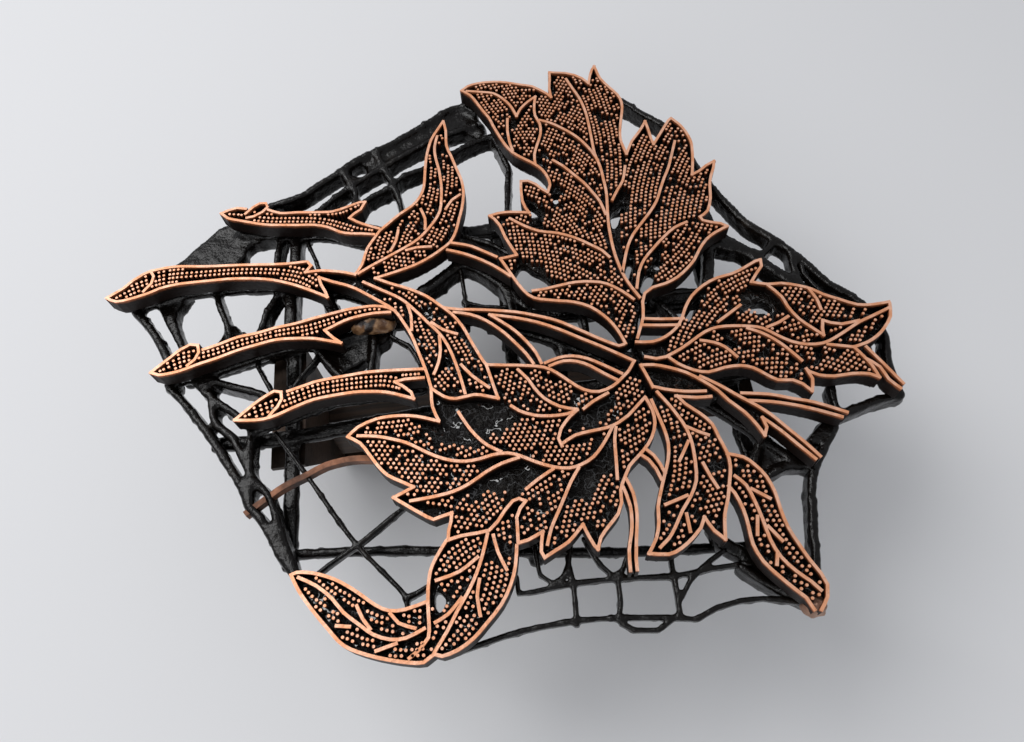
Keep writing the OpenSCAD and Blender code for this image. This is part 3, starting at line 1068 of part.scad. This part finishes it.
// Keels, one along the middle of each bud and leaf
keel_runs = [
    [[-74, 60.5], [-66, 58.5], [-58, 57], [-48, 55.5], [-40, 52], [-34, 49.5]],
    [[-101.4, 38.6], [-94, 41], [-80, 41.3], [-66, 40], [-54, 38], [-44, 35], [-36, 31]],
    [[-88, 13.8], [-76, 16], [-62, 19.3], [-48, 20], [-34, 23]],
    [[-66, -3], [-58, -1], [-48, 1.5], [-38, 2], [-24, 2.5]],
    [[-12, 86], [-14, 75], [-14, 62], [-15, 53], [-25, 42], [-37, 35], [-30, 28], [-21, 18], [-15, 8],
        [-12, -4], [-4, -16], [8, -22], [22, -18], [32, -8]],
    [[20, 84], [25, 78], [30, 64], [31, 46], [31, 30], [33, 12], [33, -4], [38, -18], [40, -30], [37, -38],
        [28, -47.5]],
    [[33, 20], [41, 40], [50, 57], [54.5, 70]],
    [[33, 0], [48, 1], [62, -1], [76, -4], [86, -1], [94, 3.5]],
    [[-37, -13], [-20, -18], [-8, -24], [0, -34], [4, -42]],
    [[-8, -24], [-12, -32], [-10, -42], [-15, -53], [-24, -62], [-35, -60], [-43, -55], [-52, -46.5]],
    [[47, -31], [52, -45], [56, -57], [59, -63]],
    [[34, -1], [45, -9], [55, -18], [66, -30]],
    [[-4, 18], [10, 13], [28, 2]]
];
loop_runs = [
    [[-22, -64.5], [-13, -62.5], [-4.7, -61], [7.3, -60.2], [16.7, -60.7], [28.7, -62], [34, -63],
        [39.3, -61], [44.7, -60.2], [50, -60.3], [58, -62.3]],
    [[31.3, -46], [31, -55], [30.8, -61.6]],
    [[31, -59], [34.5, -54.5], [40, -50.5], [45, -48]],
    [[-62, -5.2], [-54, -17.5], [-42.3, -36], [-30.5, -50.4], [-30, -56]],
    [[-30, -29], [-40, -36], [-51, -42.6], [-53, -46]],
    [[-20.7, -43], [-24, -48], [-30.7, -51]],
    [[-55.5, 57.5], [-53.5, 51.5], [-52, 47.5], [-50.5, 41.5]],
    [[-67.5, 21], [-67.5, 15], [-65.5, 11], [-63, 6]],
    [[-58.5, 6], [-56, 10], [-52.5, 14], [-49.5, 19]],
    [[-48, 16.5], [-45.5, 12], [-44, 6]],
    [[-31.3, 23], [-31.3, 19.3], [-26.6, 15.7], [-24, 10]],
    [[-11, 38], [-10.5, 30], [-10.5, 19]],
    [[-11, 27.5], [-5, 25], [1, 24]],
    [[0.3, -42], [0.7, -49], [3.3, -51.3], [6, -50.3], [7.7, -47], [8.7, -43]],
    [[12, -42], [14.7, -48.3], [17.3, -51.3], [19.7, -50.3], [21.3, -47.7]],
    [[-4.7, -49], [-4.7, -52.7], [6.7, -52], [18, -52], [31.3, -53], [40, -52.3], [50, -52.3]],
    [[7.5, -46], [8, -53], [7.5, -61]],
    [[18.3, -51], [18, -57.7], [17, -61]],
    [[17.6, -62], [20, -63.7], [25.3, -64.4], [29.5, -62]],
    [[82.5, 29], [82, 23.5], [85, 17]]
];
brace_run = [
    [[-68.3, -25.6], [-64, -22.8], [-59.5, -20], [-53.5, -17.6], [-49, -15.7], [-42.5, -14.9], [-37, -15.5]]
];

module wire_high() {
    translate([0, 0, bed_z - loop_h]) linear_extrude(loop_h) drawn_in() children();
}

module keel_high() {
    translate([0, 0, bed_z - keel_h]) linear_extrude(keel_h) drawn_in() children();
}

// Webs that fill corners between the struts, as closed outlines
web_outlines = [
    [[-96, 50.5], [-89, 56.5], [-85, 60.5], [-81, 64.5], [-76, 65.5], [-66.5, 62.5], [-60.5, 60.5],
        [-61.5, 56.5], [-66.5, 57.5], [-71, 57], [-73, 55], [-73, 53], [-75.5, 50], [-81, 48], [-93, 48]],
    [[-99.5, 42.5], [-96.5, 37.5], [-94, 32], [-91, 26.5], [-88.5, 21], [-86.5, 21], [-90, 29],
        [-91.5, 33.5], [-91.5, 37.5], [-88, 42.5]],
    [[-81, 22], [-78.5, 26], [-77, 29.5], [-74.5, 29.5], [-73, 27], [-68.5, 25.5], [-68.5, 21]],
    [[-52, 18], [-48.5, 14], [-46, 11.5], [-44, 10.8], [-41, 12], [-38, 14], [-35, 17], [-32.5, 18.5],
        [-30.5, 24], [-46, 24]],
    [[-44.5, 79.8], [-39.5, 83.4], [-36.5, 84.8], [-36.5, 82], [-39, 82.4], [-41.5, 81.2], [-42, 79],
        [-39.5, 77.5], [-36.5, 78], [-36.5, 75.5], [-41.5, 74.5], [-43.5, 76.5]],
    [[-37, 84.6], [-34, 86], [-28, 88.8], [-22, 92.3], [-15.5, 96.2], [-10.5, 99.5], [-4.5, 100.3],
        [-2, 97.5], [1, 92], [1, 87], [-3, 88], [-6, 90], [-11, 90.5], [-18, 87], [-24.5, 83],
        [-31.5, 79.5], [-37, 75.5]],
    [[59.5, -22], [57.5, -26.5], [52.5, -31.5], [57.5, -32.5], [61.5, -30.5], [70, -30.5], [68.5, -29],
        [62.5, -27.5], [62.5, -23.5]],
    [[40.5, -41.5], [45.5, -46], [50.5, -49.5], [54.5, -54.5], [59.5, -60.5], [54.5, -58], [48.5, -52],
        [42.5, -47.5]]
];

module rim_plan() {
    strips(rim_runs, rim_t, frame_chord);
}

module struts_plan() {
    strips(wall_runs, strut_t, frame_chord);
    strips(strut_runs, strut_t, frame_chord);
    strips(broad_runs, broad_strut_t, frame_chord);
}

module keels_plan() {
    strips(keel_runs, keel_t, frame_chord);
}

module loops_plan() {
    strips(loop_runs, loop_t, frame_chord);
}

module rim_strips() color(black_pitch) under_bed() rim_plan();

module webs_high() {
    translate([0, 0, frame_z]) linear_extrude(web_h) drawn_in() children();
}

// Struts, and the webs of pitch that have filled corners between them
module strut_strips() {
    color(black_pitch) {
        under_bed() difference() {
            struts_plan();
            rim_plan();
        }
        webs_high() difference() {
            patches(web_outlines);
            rim_plan();
        }
        keel_high() difference() {
            keels_plan();
            rim_plan();
        }
    }
}

module brace_strip() {
    color(brown_copper) wire_high() difference() {
        strips(brace_run, brace_t);
        rim_plan();
        struts_plan();
        keels_plan();
    }
}

module loop_strips() {
    color(black_pitch) wire_high() difference() {
        loops_plan();
        rim_plan();
        struts_plan();
        keels_plan();
        patches(web_outlines);
        strips(brace_run, brace_t);
    }
}

// Bars under the frame. The outer two long bars rest on the flanges of the handle.

// The sheet point above the middle of the handle's near edges
handle_at = place([-1.5, 24]);
bar_step = handle_l / 2 + bar_inset;
// How far along the sheet's Y each long bar reaches
long_bar_reach = [[-1, -39, 70], [0.035, -45, 58], [1, -48, 59]];
front_bar_run = [[-61, -35.5], [-44, -36.5], [-22, -39], [0, -42], [20, -44.5], [40, -46], [60, -47.5]];
cross_bar_runs = [
    [[-79, -3.5], [-60, -4], [-30, -2], [0, 0], [33, 0], [60, -1], [94, 2]],
    [[-88, 17], [-70, 21], [-50, 25.5], [-30, 27], [-10, 26], [10, 24], [30, 22], [50, 22], [70, 23],
        [85, 22]],
    [[-62, 70], [-45, 64], [-30, 58.5], [-12, 56], [8, 56], [30, 57], [50, 58], [65.5, 58]]
];

module long_bars() {
    color(black_pitch) for (bar = long_bar_reach) {
        near = place([0, bar[1]])[1];
        far = place([0, bar[2]])[1];
        translate([handle_at[0] + bar[0] * bar_step - bar_w / 2, near, long_bar_z])
            cube([bar_w, far - near, long_bar_t]);
    }
}

module cross_bars() {
    color(black_pitch) translate([0, 0, cross_bar_z]) linear_extrude(cross_bar_t) drawn_in() {
        strips(cross_bar_runs, bar_w, frame_chord);
        strip(front_bar_run, front_bar_w, frame_chord);
    }
}

// Old wax that has run down the side of the third bud's root:
// [sheet point, height over the beds' foot, radius]
wax_balls = [
    [[-39.5, 21.8], 1.5, 2.4],
    [[-36, 21.8], 2, 3],
    [[-32, 22], 1, 2.8]
];

module wax_lump() {
    color([0.45, 0.26, 0.10]) difference() {
        hull() for (ball = wax_balls) {
            translate(concat(place(ball[0]), bed_z + ball[1])) sphere(r = ball[2], $fn = 24);
        }
        translate([0, 0, bed_z]) linear_extrude(stamp_h) {
            area(bud_outlines[2]);
            strips(with_strip(bud_outlines[2]));
            area(spear_outline);
            strips(with_strip(spear_outline));
        }
        under_bed() {
            struts_plan();
            keels_plan();
            loops_plan();
            patches(web_outlines);
        }
    }
}

// Handle: a bent strap, and a wooden grip nailed between its legs

// The strap's far edge runs straight, at handle_at. Its near edge tapers towards the surface.
module strap_side() {
    polygon([[0, 0], [0, handle_h], [-strap_top_w, handle_h], [-strap_top_w, handle_h - strap_t],
        [-strap_foot_w, strap_t], [-strap_foot_w, 0]]);
}

module handle_strap() {
    foot_l = handle_l + 2 * strap_t;
    color(brown_copper) difference() {
        translate(handle_at) {
            translate([-foot_l / 2, -strap_foot_w, 0]) cube([foot_l, strap_foot_w, strap_t]);
            for (side = [-1, 1]) {
                translate([side * (handle_l + strap_t) / 2 - strap_t / 2, 0, 0])
                    rotate([90, 0, 90]) linear_extrude(strap_t) strap_side();
                translate([side * (handle_l + flange_l) / 2 - flange_l / 2, -strap_top_w, handle_h - strap_t])
                    cube([flange_l, strap_top_w, strap_t]);
            }
        }
        at_nails() translate([0, 0, -strap_t]) cylinder(h = 3 * strap_t, d = nail_d, $fn = 32);
    }
}

// Places its children at each nail: the shank points along Z from the strap's outer face
module at_nails() {
    for (side = [-1, 1]) for (k = [-1, 1])
        translate([
            handle_at[0] + side * (handle_l / 2 + strap_t),
            handle_at[1] - strap_foot_w / 2,
            strap_t + grip_h / 2 + k * nail_pitch / 2
        ])
            rotate([0, -side * 90, 0]) children();
}

// A rectangle with round corners
module rounded_plan(x, y, r) {
    for (i = [-1, 1]) for (j = [-1, 1]) translate([i * (x / 2 - r), j * (y / 2 - r)]) circle(r, $fn = 48);
    square([x - 2 * r, y], center = true);
    square([x, y - 2 * r], center = true);
}

module grip() {
    color("sienna") difference() {
        translate([handle_at[0] - handle_l / 2, handle_at[1] - strap_foot_w / 2, strap_t + grip_h / 2])
            rotate([90, 0, 90]) linear_extrude(handle_l) rounded_plan(grip_w, grip_h, grip_round);
        at_nails() cylinder(h = nail_l, d = nail_d, $fn = 32);
    }
}

module grip_nails() {
    color(copper) at_nails() {
        cylinder(h = nail_l, d = nail_d, $fn = 32);
        translate([0, 0, -nail_head_t]) cylinder(h = nail_head_t, d = nail_head_d, $fn = 32);
    }
}

crown_leaf_edge();
crown_leaf_veins();
crown_leaf_dots();
shoulder_leaf_edge();
shoulder_leaf_veins();
shoulder_leaf_dots();
wing_leaf_edge();
wing_leaf_veins();
wing_leaf_dots();
tail_leaf_edge();
tail_leaf_veins();
tail_leaf_dots();
broad_leaf_edge();
broad_leaf_veins();
broad_leaf_dots();
foot_leaf_edge();
foot_leaf_veins();
foot_leaf_dots();
heel_leaf_edge();
heel_leaf_veins();
heel_leaf_dots();
hanging_leaf_edge();
hanging_leaf_veins();
hanging_leaf_dots();
corner_leaf_edge();
corner_leaf_veins();
corner_leaf_dots();
spear_leaf_edge();
spear_leaf_veins();
spear_leaf_dots();
blade_leaf_edge();
blade_leaf_veins();
blade_leaf_dots();
bud_edges();
bud_dots();
middle_stem_strips();
forked_stem_strips();
north_bed();
east_bed();
south_bed();
foot_bed();
west_bed();
bud_beds();
stem_beds();
rim_strips();
strut_strips();
loop_strips();
brace_strip();
cross_bars();
long_bars();
wax_lump();
handle_strap();
grip();
grip_nails();
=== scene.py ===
import bmesh
import bpy
from mathutils import Matrix, Vector, noise


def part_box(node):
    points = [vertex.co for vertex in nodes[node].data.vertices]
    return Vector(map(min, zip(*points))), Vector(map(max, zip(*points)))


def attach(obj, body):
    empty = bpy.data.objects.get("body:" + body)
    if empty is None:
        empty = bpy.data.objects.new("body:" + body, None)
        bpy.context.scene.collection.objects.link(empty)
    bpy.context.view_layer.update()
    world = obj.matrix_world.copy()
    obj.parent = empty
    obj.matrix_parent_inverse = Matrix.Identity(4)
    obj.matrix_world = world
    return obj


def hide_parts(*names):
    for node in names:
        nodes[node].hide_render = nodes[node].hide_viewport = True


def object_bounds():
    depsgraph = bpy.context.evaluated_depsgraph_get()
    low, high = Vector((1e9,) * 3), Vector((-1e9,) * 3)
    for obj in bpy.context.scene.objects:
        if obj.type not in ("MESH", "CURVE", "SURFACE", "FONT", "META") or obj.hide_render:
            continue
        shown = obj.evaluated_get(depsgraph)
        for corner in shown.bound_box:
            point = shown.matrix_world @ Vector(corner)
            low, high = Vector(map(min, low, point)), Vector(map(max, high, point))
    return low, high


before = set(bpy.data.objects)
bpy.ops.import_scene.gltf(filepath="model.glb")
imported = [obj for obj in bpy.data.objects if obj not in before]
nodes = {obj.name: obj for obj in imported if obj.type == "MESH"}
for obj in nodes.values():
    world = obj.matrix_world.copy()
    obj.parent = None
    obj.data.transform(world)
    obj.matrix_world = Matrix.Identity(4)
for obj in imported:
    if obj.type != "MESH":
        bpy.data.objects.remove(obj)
cad_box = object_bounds()

# The studio: an even sky, a big soft lamp over the far left and a weaker one on the near side.
# The camera looks down on the print face from the near side, as the photograph does.
print_top = 0.064
picture_width = 1024
focal_length_in_pixels = 800
film_width = 36
camera_above_print = 0.177
camera_x = 0.00454
camera_y = -0.1104

scene = bpy.context.scene
scene.view_settings.view_transform = "Standard"

camera_data = bpy.data.cameras.new("view")
camera_data.sensor_width = film_width
camera_data.lens = film_width * focal_length_in_pixels / picture_width
camera_data.clip_start = 0.01
camera = bpy.data.objects.new("view", camera_data)
scene.collection.objects.link(camera)
across = Vector((0.9927, -0.1070, -0.0561)).normalized()
back = Vector((0.0002, -0.4630, 0.8862))
back = (back - across * back.dot(across)).normalized()
upward = back.cross(across)
camera.matrix_world = Matrix((
    (across.x, upward.x, back.x, camera_x),
    (across.y, upward.y, back.y, camera_y),
    (across.z, upward.z, back.z, print_top + camera_above_print),
    (0, 0, 0, 1),
))
scene.camera = camera


def soft_lamp(name, place, width, depth, watts):
    """A rectangle of light, turned to the middle of the stamp"""
    aim = Vector((0, 0, 0.05))
    data = bpy.data.lights.new(name, "AREA")
    data.shape = "RECTANGLE"
    data.size = width
    data.size_y = depth
    data.energy = watts
    lamp = bpy.data.objects.new(name, data)
    lamp.location = place
    lamp.rotation_euler = (aim - Vector(place)).to_track_quat("-Z", "Y").to_euler()
    scene.collection.objects.link(lamp)


soft_lamp("overhead", place=(-0.45, 0.30, 0.80), width=0.6, depth=0.6, watts=5.2)
soft_lamp("near_side", place=(-0.30, -0.60, 0.60), width=0.5, depth=0.4, watts=1.2)


def colour(red, green, blue):
    return (red, green, blue, 1.0)


world = bpy.data.worlds.new("sky")
world.use_nodes = True
sky = world.node_tree.nodes["Background"]
sky.inputs["Color"].default_value = colour(0.80, 0.82, 0.86)
sky.inputs["Strength"].default_value = 0.55
scene.world = world

# Floor: a plain pale sheet that the handle stands on. It is the first thing here with a finish,
# so the two classes that every finish is written with come with it.
floor_half_width = 3.0


class Value:
    """A shader socket that takes part in sums and products; each one adds its Math node."""

    def __init__(self, finish, socket):
        self.finish = finish
        self.socket = socket

    def math(self, operation, *terms):
        return self.finish.node("ShaderNodeMath", {"operation": operation}, dict(enumerate(terms)))

    def __add__(self, other):
        return self.math("ADD", self, other)

    __radd__ = __add__

    def __sub__(self, other):
        return self.math("SUBTRACT", self, other)

    def __rsub__(self, other):
        return self.math("SUBTRACT", other, self)

    def __mul__(self, other):
        return self.math("MULTIPLY", self, other)

    __rmul__ = __mul__

    def __truediv__(self, other):
        return self.math("DIVIDE", self, other)

    def greater_of(self, other):
        return self.math("MAXIMUM", self, other)

    def unsigned(self):
        return self.math("ABSOLUTE", self)

    def step(self, low, high):
        """0 below low, 1 above high, and a smooth rise between them"""
        return self.finish.node(
            "ShaderNodeMapRange",
            {"interpolation_type": "SMOOTHSTEP"},
            {"Value": self, "From Min": low, "From Max": high},
        )


class Finish:
    """A material, with one method that adds any node."""

    def __init__(self, name):
        self.material = bpy.data.materials.new(name)
        self.material.use_nodes = True
        self.tree = self.material.node_tree
        self.tree.nodes.clear()

    def node(self, kind, settings, sockets, output=0):
        made = self.tree.nodes.new(kind)
        for key, setting in settings.items():
            setattr(made, key, setting)
        for key, given in sockets.items():
            if isinstance(given, Value):
                self.tree.links.new(given.socket, made.inputs[key])
            else:
                made.inputs[key].default_value = given
        return Value(self, made.outputs[output])

    def place(self):
        return self.node("ShaderNodeTexCoord", {}, {}, "Object")

    def height_of(self, vector):
        return self.node("ShaderNodeSeparateXYZ", {}, {"Vector": vector}, "Z")

    def facing_up(self):
        """1 on a level face, 0 on an upright one"""
        return self.height_of(self.node("ShaderNodeNewGeometry", {}, {}, "Normal"))

    def grain(self, size, detail, rough, vector=None):
        """Noise whose blotches are about size across"""
        return self.node(
            "ShaderNodeTexNoise",
            {},
            {"Vector": vector or self.place(), "Scale": 1 / size, "Detail": detail, "Roughness": rough},
            "Fac",
        )

    def blend(self, mask, below, above):
        """One colour where mask is 0, the other where it is 1"""
        factor, first_colour, second_colour, colour_result = 0, 6, 7, 2
        return self.node(
            "ShaderNodeMix",
            {"data_type": "RGBA"},
            {factor: mask, first_colour: below, second_colour: above},
            colour_result,
        )

    def bump(self, height, depth, strength):
        return self.node(
            "ShaderNodeBump", {}, {"Height": height, "Distance": depth, "Strength": strength}
        )

    def surface(self, sockets):
        shader = self.node("ShaderNodeBsdfPrincipled", {}, sockets)
        end = self.tree.nodes.new("ShaderNodeOutputMaterial")
        self.tree.links.new(shader.socket, end.inputs["Surface"])
        return self.material


def finished(mesh, name):
    """Puts a worked mesh into the scene as an object"""
    data = bpy.data.meshes.new(name)
    mesh.to_mesh(data)
    mesh.free()
    piece = bpy.data.objects.new(name, data)
    scene.collection.objects.link(piece)
    return piece


floor_mesh = bmesh.new()
bmesh.ops.create_grid(floor_mesh, x_segments=1, y_segments=1, size=floor_half_width)
floor = finished(floor_mesh, "floor")
floor.data.materials.append(Finish("pale_floor").surface({
    "Base Color": colour(0.72, 0.72, 0.73),
    "Roughness": 0.85,
}))

# Copper strips: the outlines and veins of the leaves, buds and stems are strips of thin sheet on
# edge. Their upper edges are filed to one level and worn bright, and pitch darkens them below.
leaf_names = (
    "crown", "shoulder", "wing", "tail", "broad", "foot", "heel", "hanging", "corner", "spear", "blade"
)


def dress(name, material):
    nodes[name].data.materials.clear()
    nodes[name].data.materials.append(material)


def filed_copper(name, deep, bright_depth, patch, dull):
    """Salmon where the file ran, with stains; red just below, and deep where the pitch begins.
    bright_depth is how far down the flanks the copper shows, patch the size of the blotches on
    the filed face, and dull how brown they get."""
    filed_depth = 0.0004
    dent_depth = 0.00025
    orange = colour(0.76, 0.34, 0.18)
    pink = colour(0.88, 0.49, 0.33)
    brown = colour(0.30, 0.12, 0.06)
    red = colour(0.46, 0.15, 0.06)
    finish = Finish(name)
    below_top = print_top - finish.height_of(finish.place())
    ragged = finish.grain(0.0012, 4.0, 0.6)
    tone = finish.grain(patch, 1.0, 0.5)
    broad = finish.grain(0.014, 3.0, 0.5)
    fine_stain = finish.grain(0.0006, 3.0, 0.6).step(0.58, 0.76) * 0.6
    tarnish = (tone * 0.6 + broad * 0.4).step(0.57, 0.68) * dull
    salmon = finish.blend(tone.step(0.35, 0.65), orange, pink)
    filed = finish.blend(fine_stain.greater_of(tarnish), salmon, brown)
    near_top = 1 - (below_top / bright_depth + (ragged - 0.5) * 0.8).step(0.0, 1.0)
    flank = finish.blend(near_top * near_top, deep, red)
    worn = finish.facing_up().step(0.35, 0.8) * (1 - (below_top / filed_depth).step(0.6, 1.4))
    return finish.surface({
        "Base Color": finish.blend(worn, flank, filed),
        "Metallic": worn * 0.3 + near_top * 0.15,
        "Roughness": 0.5 - worn * 0.08 + (ragged - 0.5) * 0.2,
        "Specular IOR Level": 0.2,
        "Normal": finish.bump(ragged, dent_depth, 0.6),
    })


strip_copper = filed_copper(
    "filed_strip_copper", deep=colour(0.008, 0.004, 0.003), bright_depth=0.0016, patch=0.004, dull=0.3
)
for leaf in leaf_names:
    dress(leaf + "_leaf_edge", strip_copper)
    dress(leaf + "_leaf_veins", strip_copper)
for name in ("bud_edges", "middle_stem_strips", "forked_stem_strips"):
    dress(name, strip_copper)

# Dots: short ends of copper wire, pressed into the pitch in rows and filed level with the strips. Their
# flanks go dark where the pitch begins; that deep colour is painted redder than the strips' for the
# reflected light the close-set dots throw on each other.
wire_copper = filed_copper(
    # Painted reflected light: this deep colour is redder than the strips' to stand for light bounced
    # between neighbouring dots.
    "filed_wire_copper", deep=colour(0.035, 0.011, 0.005), bright_depth=0.0012, patch=0.0013, dull=0.5
)
for name in [leaf + "_leaf_dots" for leaf in leaf_names] + ["bud_dots"]:
    dress(name, wire_copper)

# Pitch: the black fill round the feet of the strips and dots, and the coat on the lattice below.
# It was poured on hot, so it fills the corners, hangs in drops and shines where it ran.


def black_pitch(name, shine, depth, threads):
    """Near black with patches of dust. shine is its gloss, depth the height of its lumps, and
    threads the strength of the thin glossy runs on it."""
    black = colour(0.0035, 0.0025, 0.002)
    dusty = colour(0.022, 0.016, 0.012)
    finish = Finish(name)
    lumps = finish.grain(0.0035, 4.0, 0.6)
    fine = finish.grain(0.0007, 3.0, 0.6)
    dust = finish.grain(0.009, 5.0, 0.65).step(0.55, 0.78)
    off_thread = (finish.grain(0.0032, 2.0, 0.55) - 0.5).unsigned()
    return finish.surface({
        "Base Color": finish.blend(dust * 0.6, black, dusty),
        "Roughness": 0.1 + dust * 0.2 + fine * 0.1,
        "Specular IOR Level": shine,
        "Coat Weight": (1 - off_thread.step(0.004, 0.02)) * threads,
        "Coat Roughness": 0.05,
        "Coat IOR": 1.8,
        "Normal": finish.bump(lumps * 0.8 + fine * 0.2, depth, 0.8),
    })


def settle(piece):
    """Turns the piece's modifiers into its mesh"""
    graph = bpy.context.evaluated_depsgraph_get()
    made = bpy.data.meshes.new_from_object(piece.evaluated_get(graph))
    piece.modifiers.clear()
    piece.data = made


def coated(name, sources, finish, cell, rounds, swell, lumps, risen=0.0):
    """The solids in sources under one coat, made of cells of that size and smoothed in rounds.
    It swells evenly by swell and unevenly by lumps, and its upper half stands risen higher."""
    blot_size = 0.0045
    drop_size = 0.0021
    level_size = 0.006
    drop_start = Vector((7, 3, 1))
    mesh = bmesh.new()
    for source in sources:
        mesh.from_mesh(nodes[source].data)
    bmesh.ops.remove_doubles(mesh, verts=mesh.verts, dist=1e-6)
    piece = finished(mesh, name)
    coat = piece.modifiers.new("coat", "REMESH")
    coat.mode = "VOXEL"
    coat.voxel_size = cell
    flow = piece.modifiers.new("flow", "SMOOTH")
    flow.factor = 0.5
    flow.iterations = rounds
    settle(piece)

    mesh = bmesh.new()
    mesh.from_mesh(piece.data)
    mesh.normal_update()
    low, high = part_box(sources[0])
    middle = (low[2] + high[2]) / 2
    for vert in mesh.verts:
        blot = noise.noise(vert.co / blot_size)
        if vert.co.z > middle:
            vert.co.z += risen * (1 + 0.35 * noise.noise(vert.co / level_size))
        drop = max(0.0, noise.noise(vert.co / drop_size + drop_start)) ** 2
        vert.co += vert.normal * (swell + lumps * (0.5 * blot + 1.6 * drop))
        for axis in (0, 1):
            vert.co[axis] = min(max(vert.co[axis], cad_box[0][axis]), cad_box[1][axis])
    for face in mesh.faces:
        face.smooth = True
    mesh.to_mesh(piece.data)
    mesh.free()
    piece.data.materials.clear()
    piece.data.materials.append(finish)
    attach(piece, "root")
    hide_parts(*sources)


bed_pitch = black_pitch("bed_pitch", shine=0.12, depth=0.0022, threads=1.0)
bed_rise = 0.0022
for name, sources, cell in (
    ("pitch_under_crown", ["north_bed", "east_bed"], 0.00055),
    ("pitch_under_broad_leaf", ["south_bed", "foot_bed"], 0.00055),
    ("pitch_under_buds", ["west_bed", "bud_beds", "stem_beds"], 0.0005),
):
    coated(
        name, sources, bed_pitch,
        cell=cell, rounds=4, swell=0.0, lumps=0.0002, risen=bed_rise,
    )

# Lattice: strips on edge between the leaves, the buds and the rim, two layers of bars under them,
# and thin loops at the lower edge. All are soldered at their crossings and under a coat of pitch.
strut_pitch = black_pitch("strut_pitch", shine=0.25, depth=0.0008, threads=0.1)
for name, sources, cell, rounds, swell, lumps in (
    ("coated_lattice", ["rim_strips", "strut_strips"], 0.0007, 6, 0.0002, 0.0005),
    ("coated_bars", ["cross_bars", "long_bars"], 0.0007, 4, 0.0002, 0.0005),
    ("coated_loops", ["loop_strips"], 0.0004, 3, 0.0001, 0.0003),
):
    coated(
        name, sources, strut_pitch,
        cell=cell, rounds=rounds, swell=swell, lumps=lumps,
    )

# Handle strap and nails: one bent strap of brown copper, with its flanges soldered under the bars.
# Copper nails go through its legs into the grip. Both are painted near black for the shade they stand
# in under the stamp.


def brown_copper(name, dark, light):
    """Blotches of the two colours, a little rough and dented"""
    dent_depth = 0.0006
    finish = Finish(name)
    patches = finish.grain(0.012, 5.0, 0.6)
    fine = finish.grain(0.0012, 3.0, 0.6)
    return finish.surface({
        "Base Color": finish.blend(patches.step(0.35, 0.7), dark, light),
        "Metallic": 0.6,
        "Roughness": 0.42 + fine * 0.2,
        "Normal": finish.bump(patches * 0.7 + fine * 0.3, dent_depth, 0.5),
    })


# Painted shade: the strap's and nails' two colours are darkened to near black for the shade under the
# stamp.
handle_copper_painted_shade = brown_copper("brown_copper", colour(0.018, 0.011, 0.007), colour(0.07, 0.042, 0.028))
for name in ("handle_strap", "grip_nails"):
    dress(name, handle_copper_painted_shade)

# Brace: a strip of bare copper that curves under the lower left of the lattice. No pitch ran over
# it, so its redder brown shows.
dress("brace_strip", brown_copper("bare_brace", colour(0.03, 0.013, 0.008), colour(0.30, 0.13, 0.07)))

# Grip: a bar of wood between the strap's legs, painted dark for the shade it stands in under the stamp.
# Its fibres run along it, worn smooth by hands.
fibres_across = 14
# Painted shade: both wood colours are darkened to near black for the shade under the stamp; the fibre
# pattern between them is the wood's own.
painted_shade_dark_wood = colour(0.018, 0.010, 0.006)
painted_shade_light_wood = colour(0.075, 0.040, 0.022)
wood = Finish("grip_wood")
along_grip = wood.node(
    "ShaderNodeMapping", {}, {"Vector": wood.place(), "Scale": (1, fibres_across, fibres_across)}
)
fibre = wood.grain(0.02, 6.0, 0.6, along_grip)
dress("grip", wood.surface({
    "Base Color": wood.blend(fibre.step(0.3, 0.7), painted_shade_dark_wood, painted_shade_light_wood),
    "Roughness": 0.5,
    "Normal": wood.bump(fibre, 0.0005, 0.5),
}))

# Old wax: it ran down the side of the third bud's root and set there as amber lumps, with pitch
# in its folds. It starts from the CAD's lump, which it follows closely.
dark_amber = colour(0.11, 0.045, 0.016)
pale_amber = colour(0.42, 0.24, 0.12)
pitch_brown = colour(0.015, 0.008, 0.005)
wax = Finish("old_wax")
cloud = wax.grain(0.0025, 4.0, 0.6)
fold = wax.grain(0.0045, 2.0, 0.5).step(0.50, 0.62)
amber = wax.blend(cloud.step(0.35, 0.65), dark_amber, pale_amber)
old_wax = wax.surface({
    "Base Color": wax.blend(fold, amber, pitch_brown),
    "Roughness": 0.32,
    "Coat Weight": 0.3,
    "Normal": wax.bump(cloud, 0.0008, 0.6),
})
coated("wax_run", ["wax_lump"], old_wax, cell=0.0003, rounds=3, swell=0.0001, lumps=0.0007)

# Solder: a drop that set at the tip of the corner leaf, where its strips meet. It is pale brown,
# narrower below and a little dented.
drop_middle = Vector((0.0636, -0.0819, 0.0592))
drop_radii = (0.0029, 0.0023, 0.0038)
drop_mesh = bmesh.new()
bmesh.ops.create_icosphere(drop_mesh, subdivisions=5, radius=1.0)
for vert in drop_mesh.verts:
    dented = 1 + 0.18 * noise.noise(vert.co * 1.6) + 0.05 * noise.noise(vert.co * 5.0)
    narrow = 1 - 0.3 * max(0.0, -vert.co.z)
    vert.co.x *= drop_radii[0] * narrow
    vert.co.y *= drop_radii[1] * narrow
    vert.co.z *= drop_radii[2]
    vert.co = drop_middle + vert.co * dented
for face in drop_mesh.faces:
    face.smooth = True
tip_solder = finished(drop_mesh, "tip_solder")
tip_solder.data.materials.append(
    brown_copper("tip_solder", colour(0.22, 0.12, 0.08), colour(0.55, 0.36, 0.27))
)
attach(tip_solder, "root")
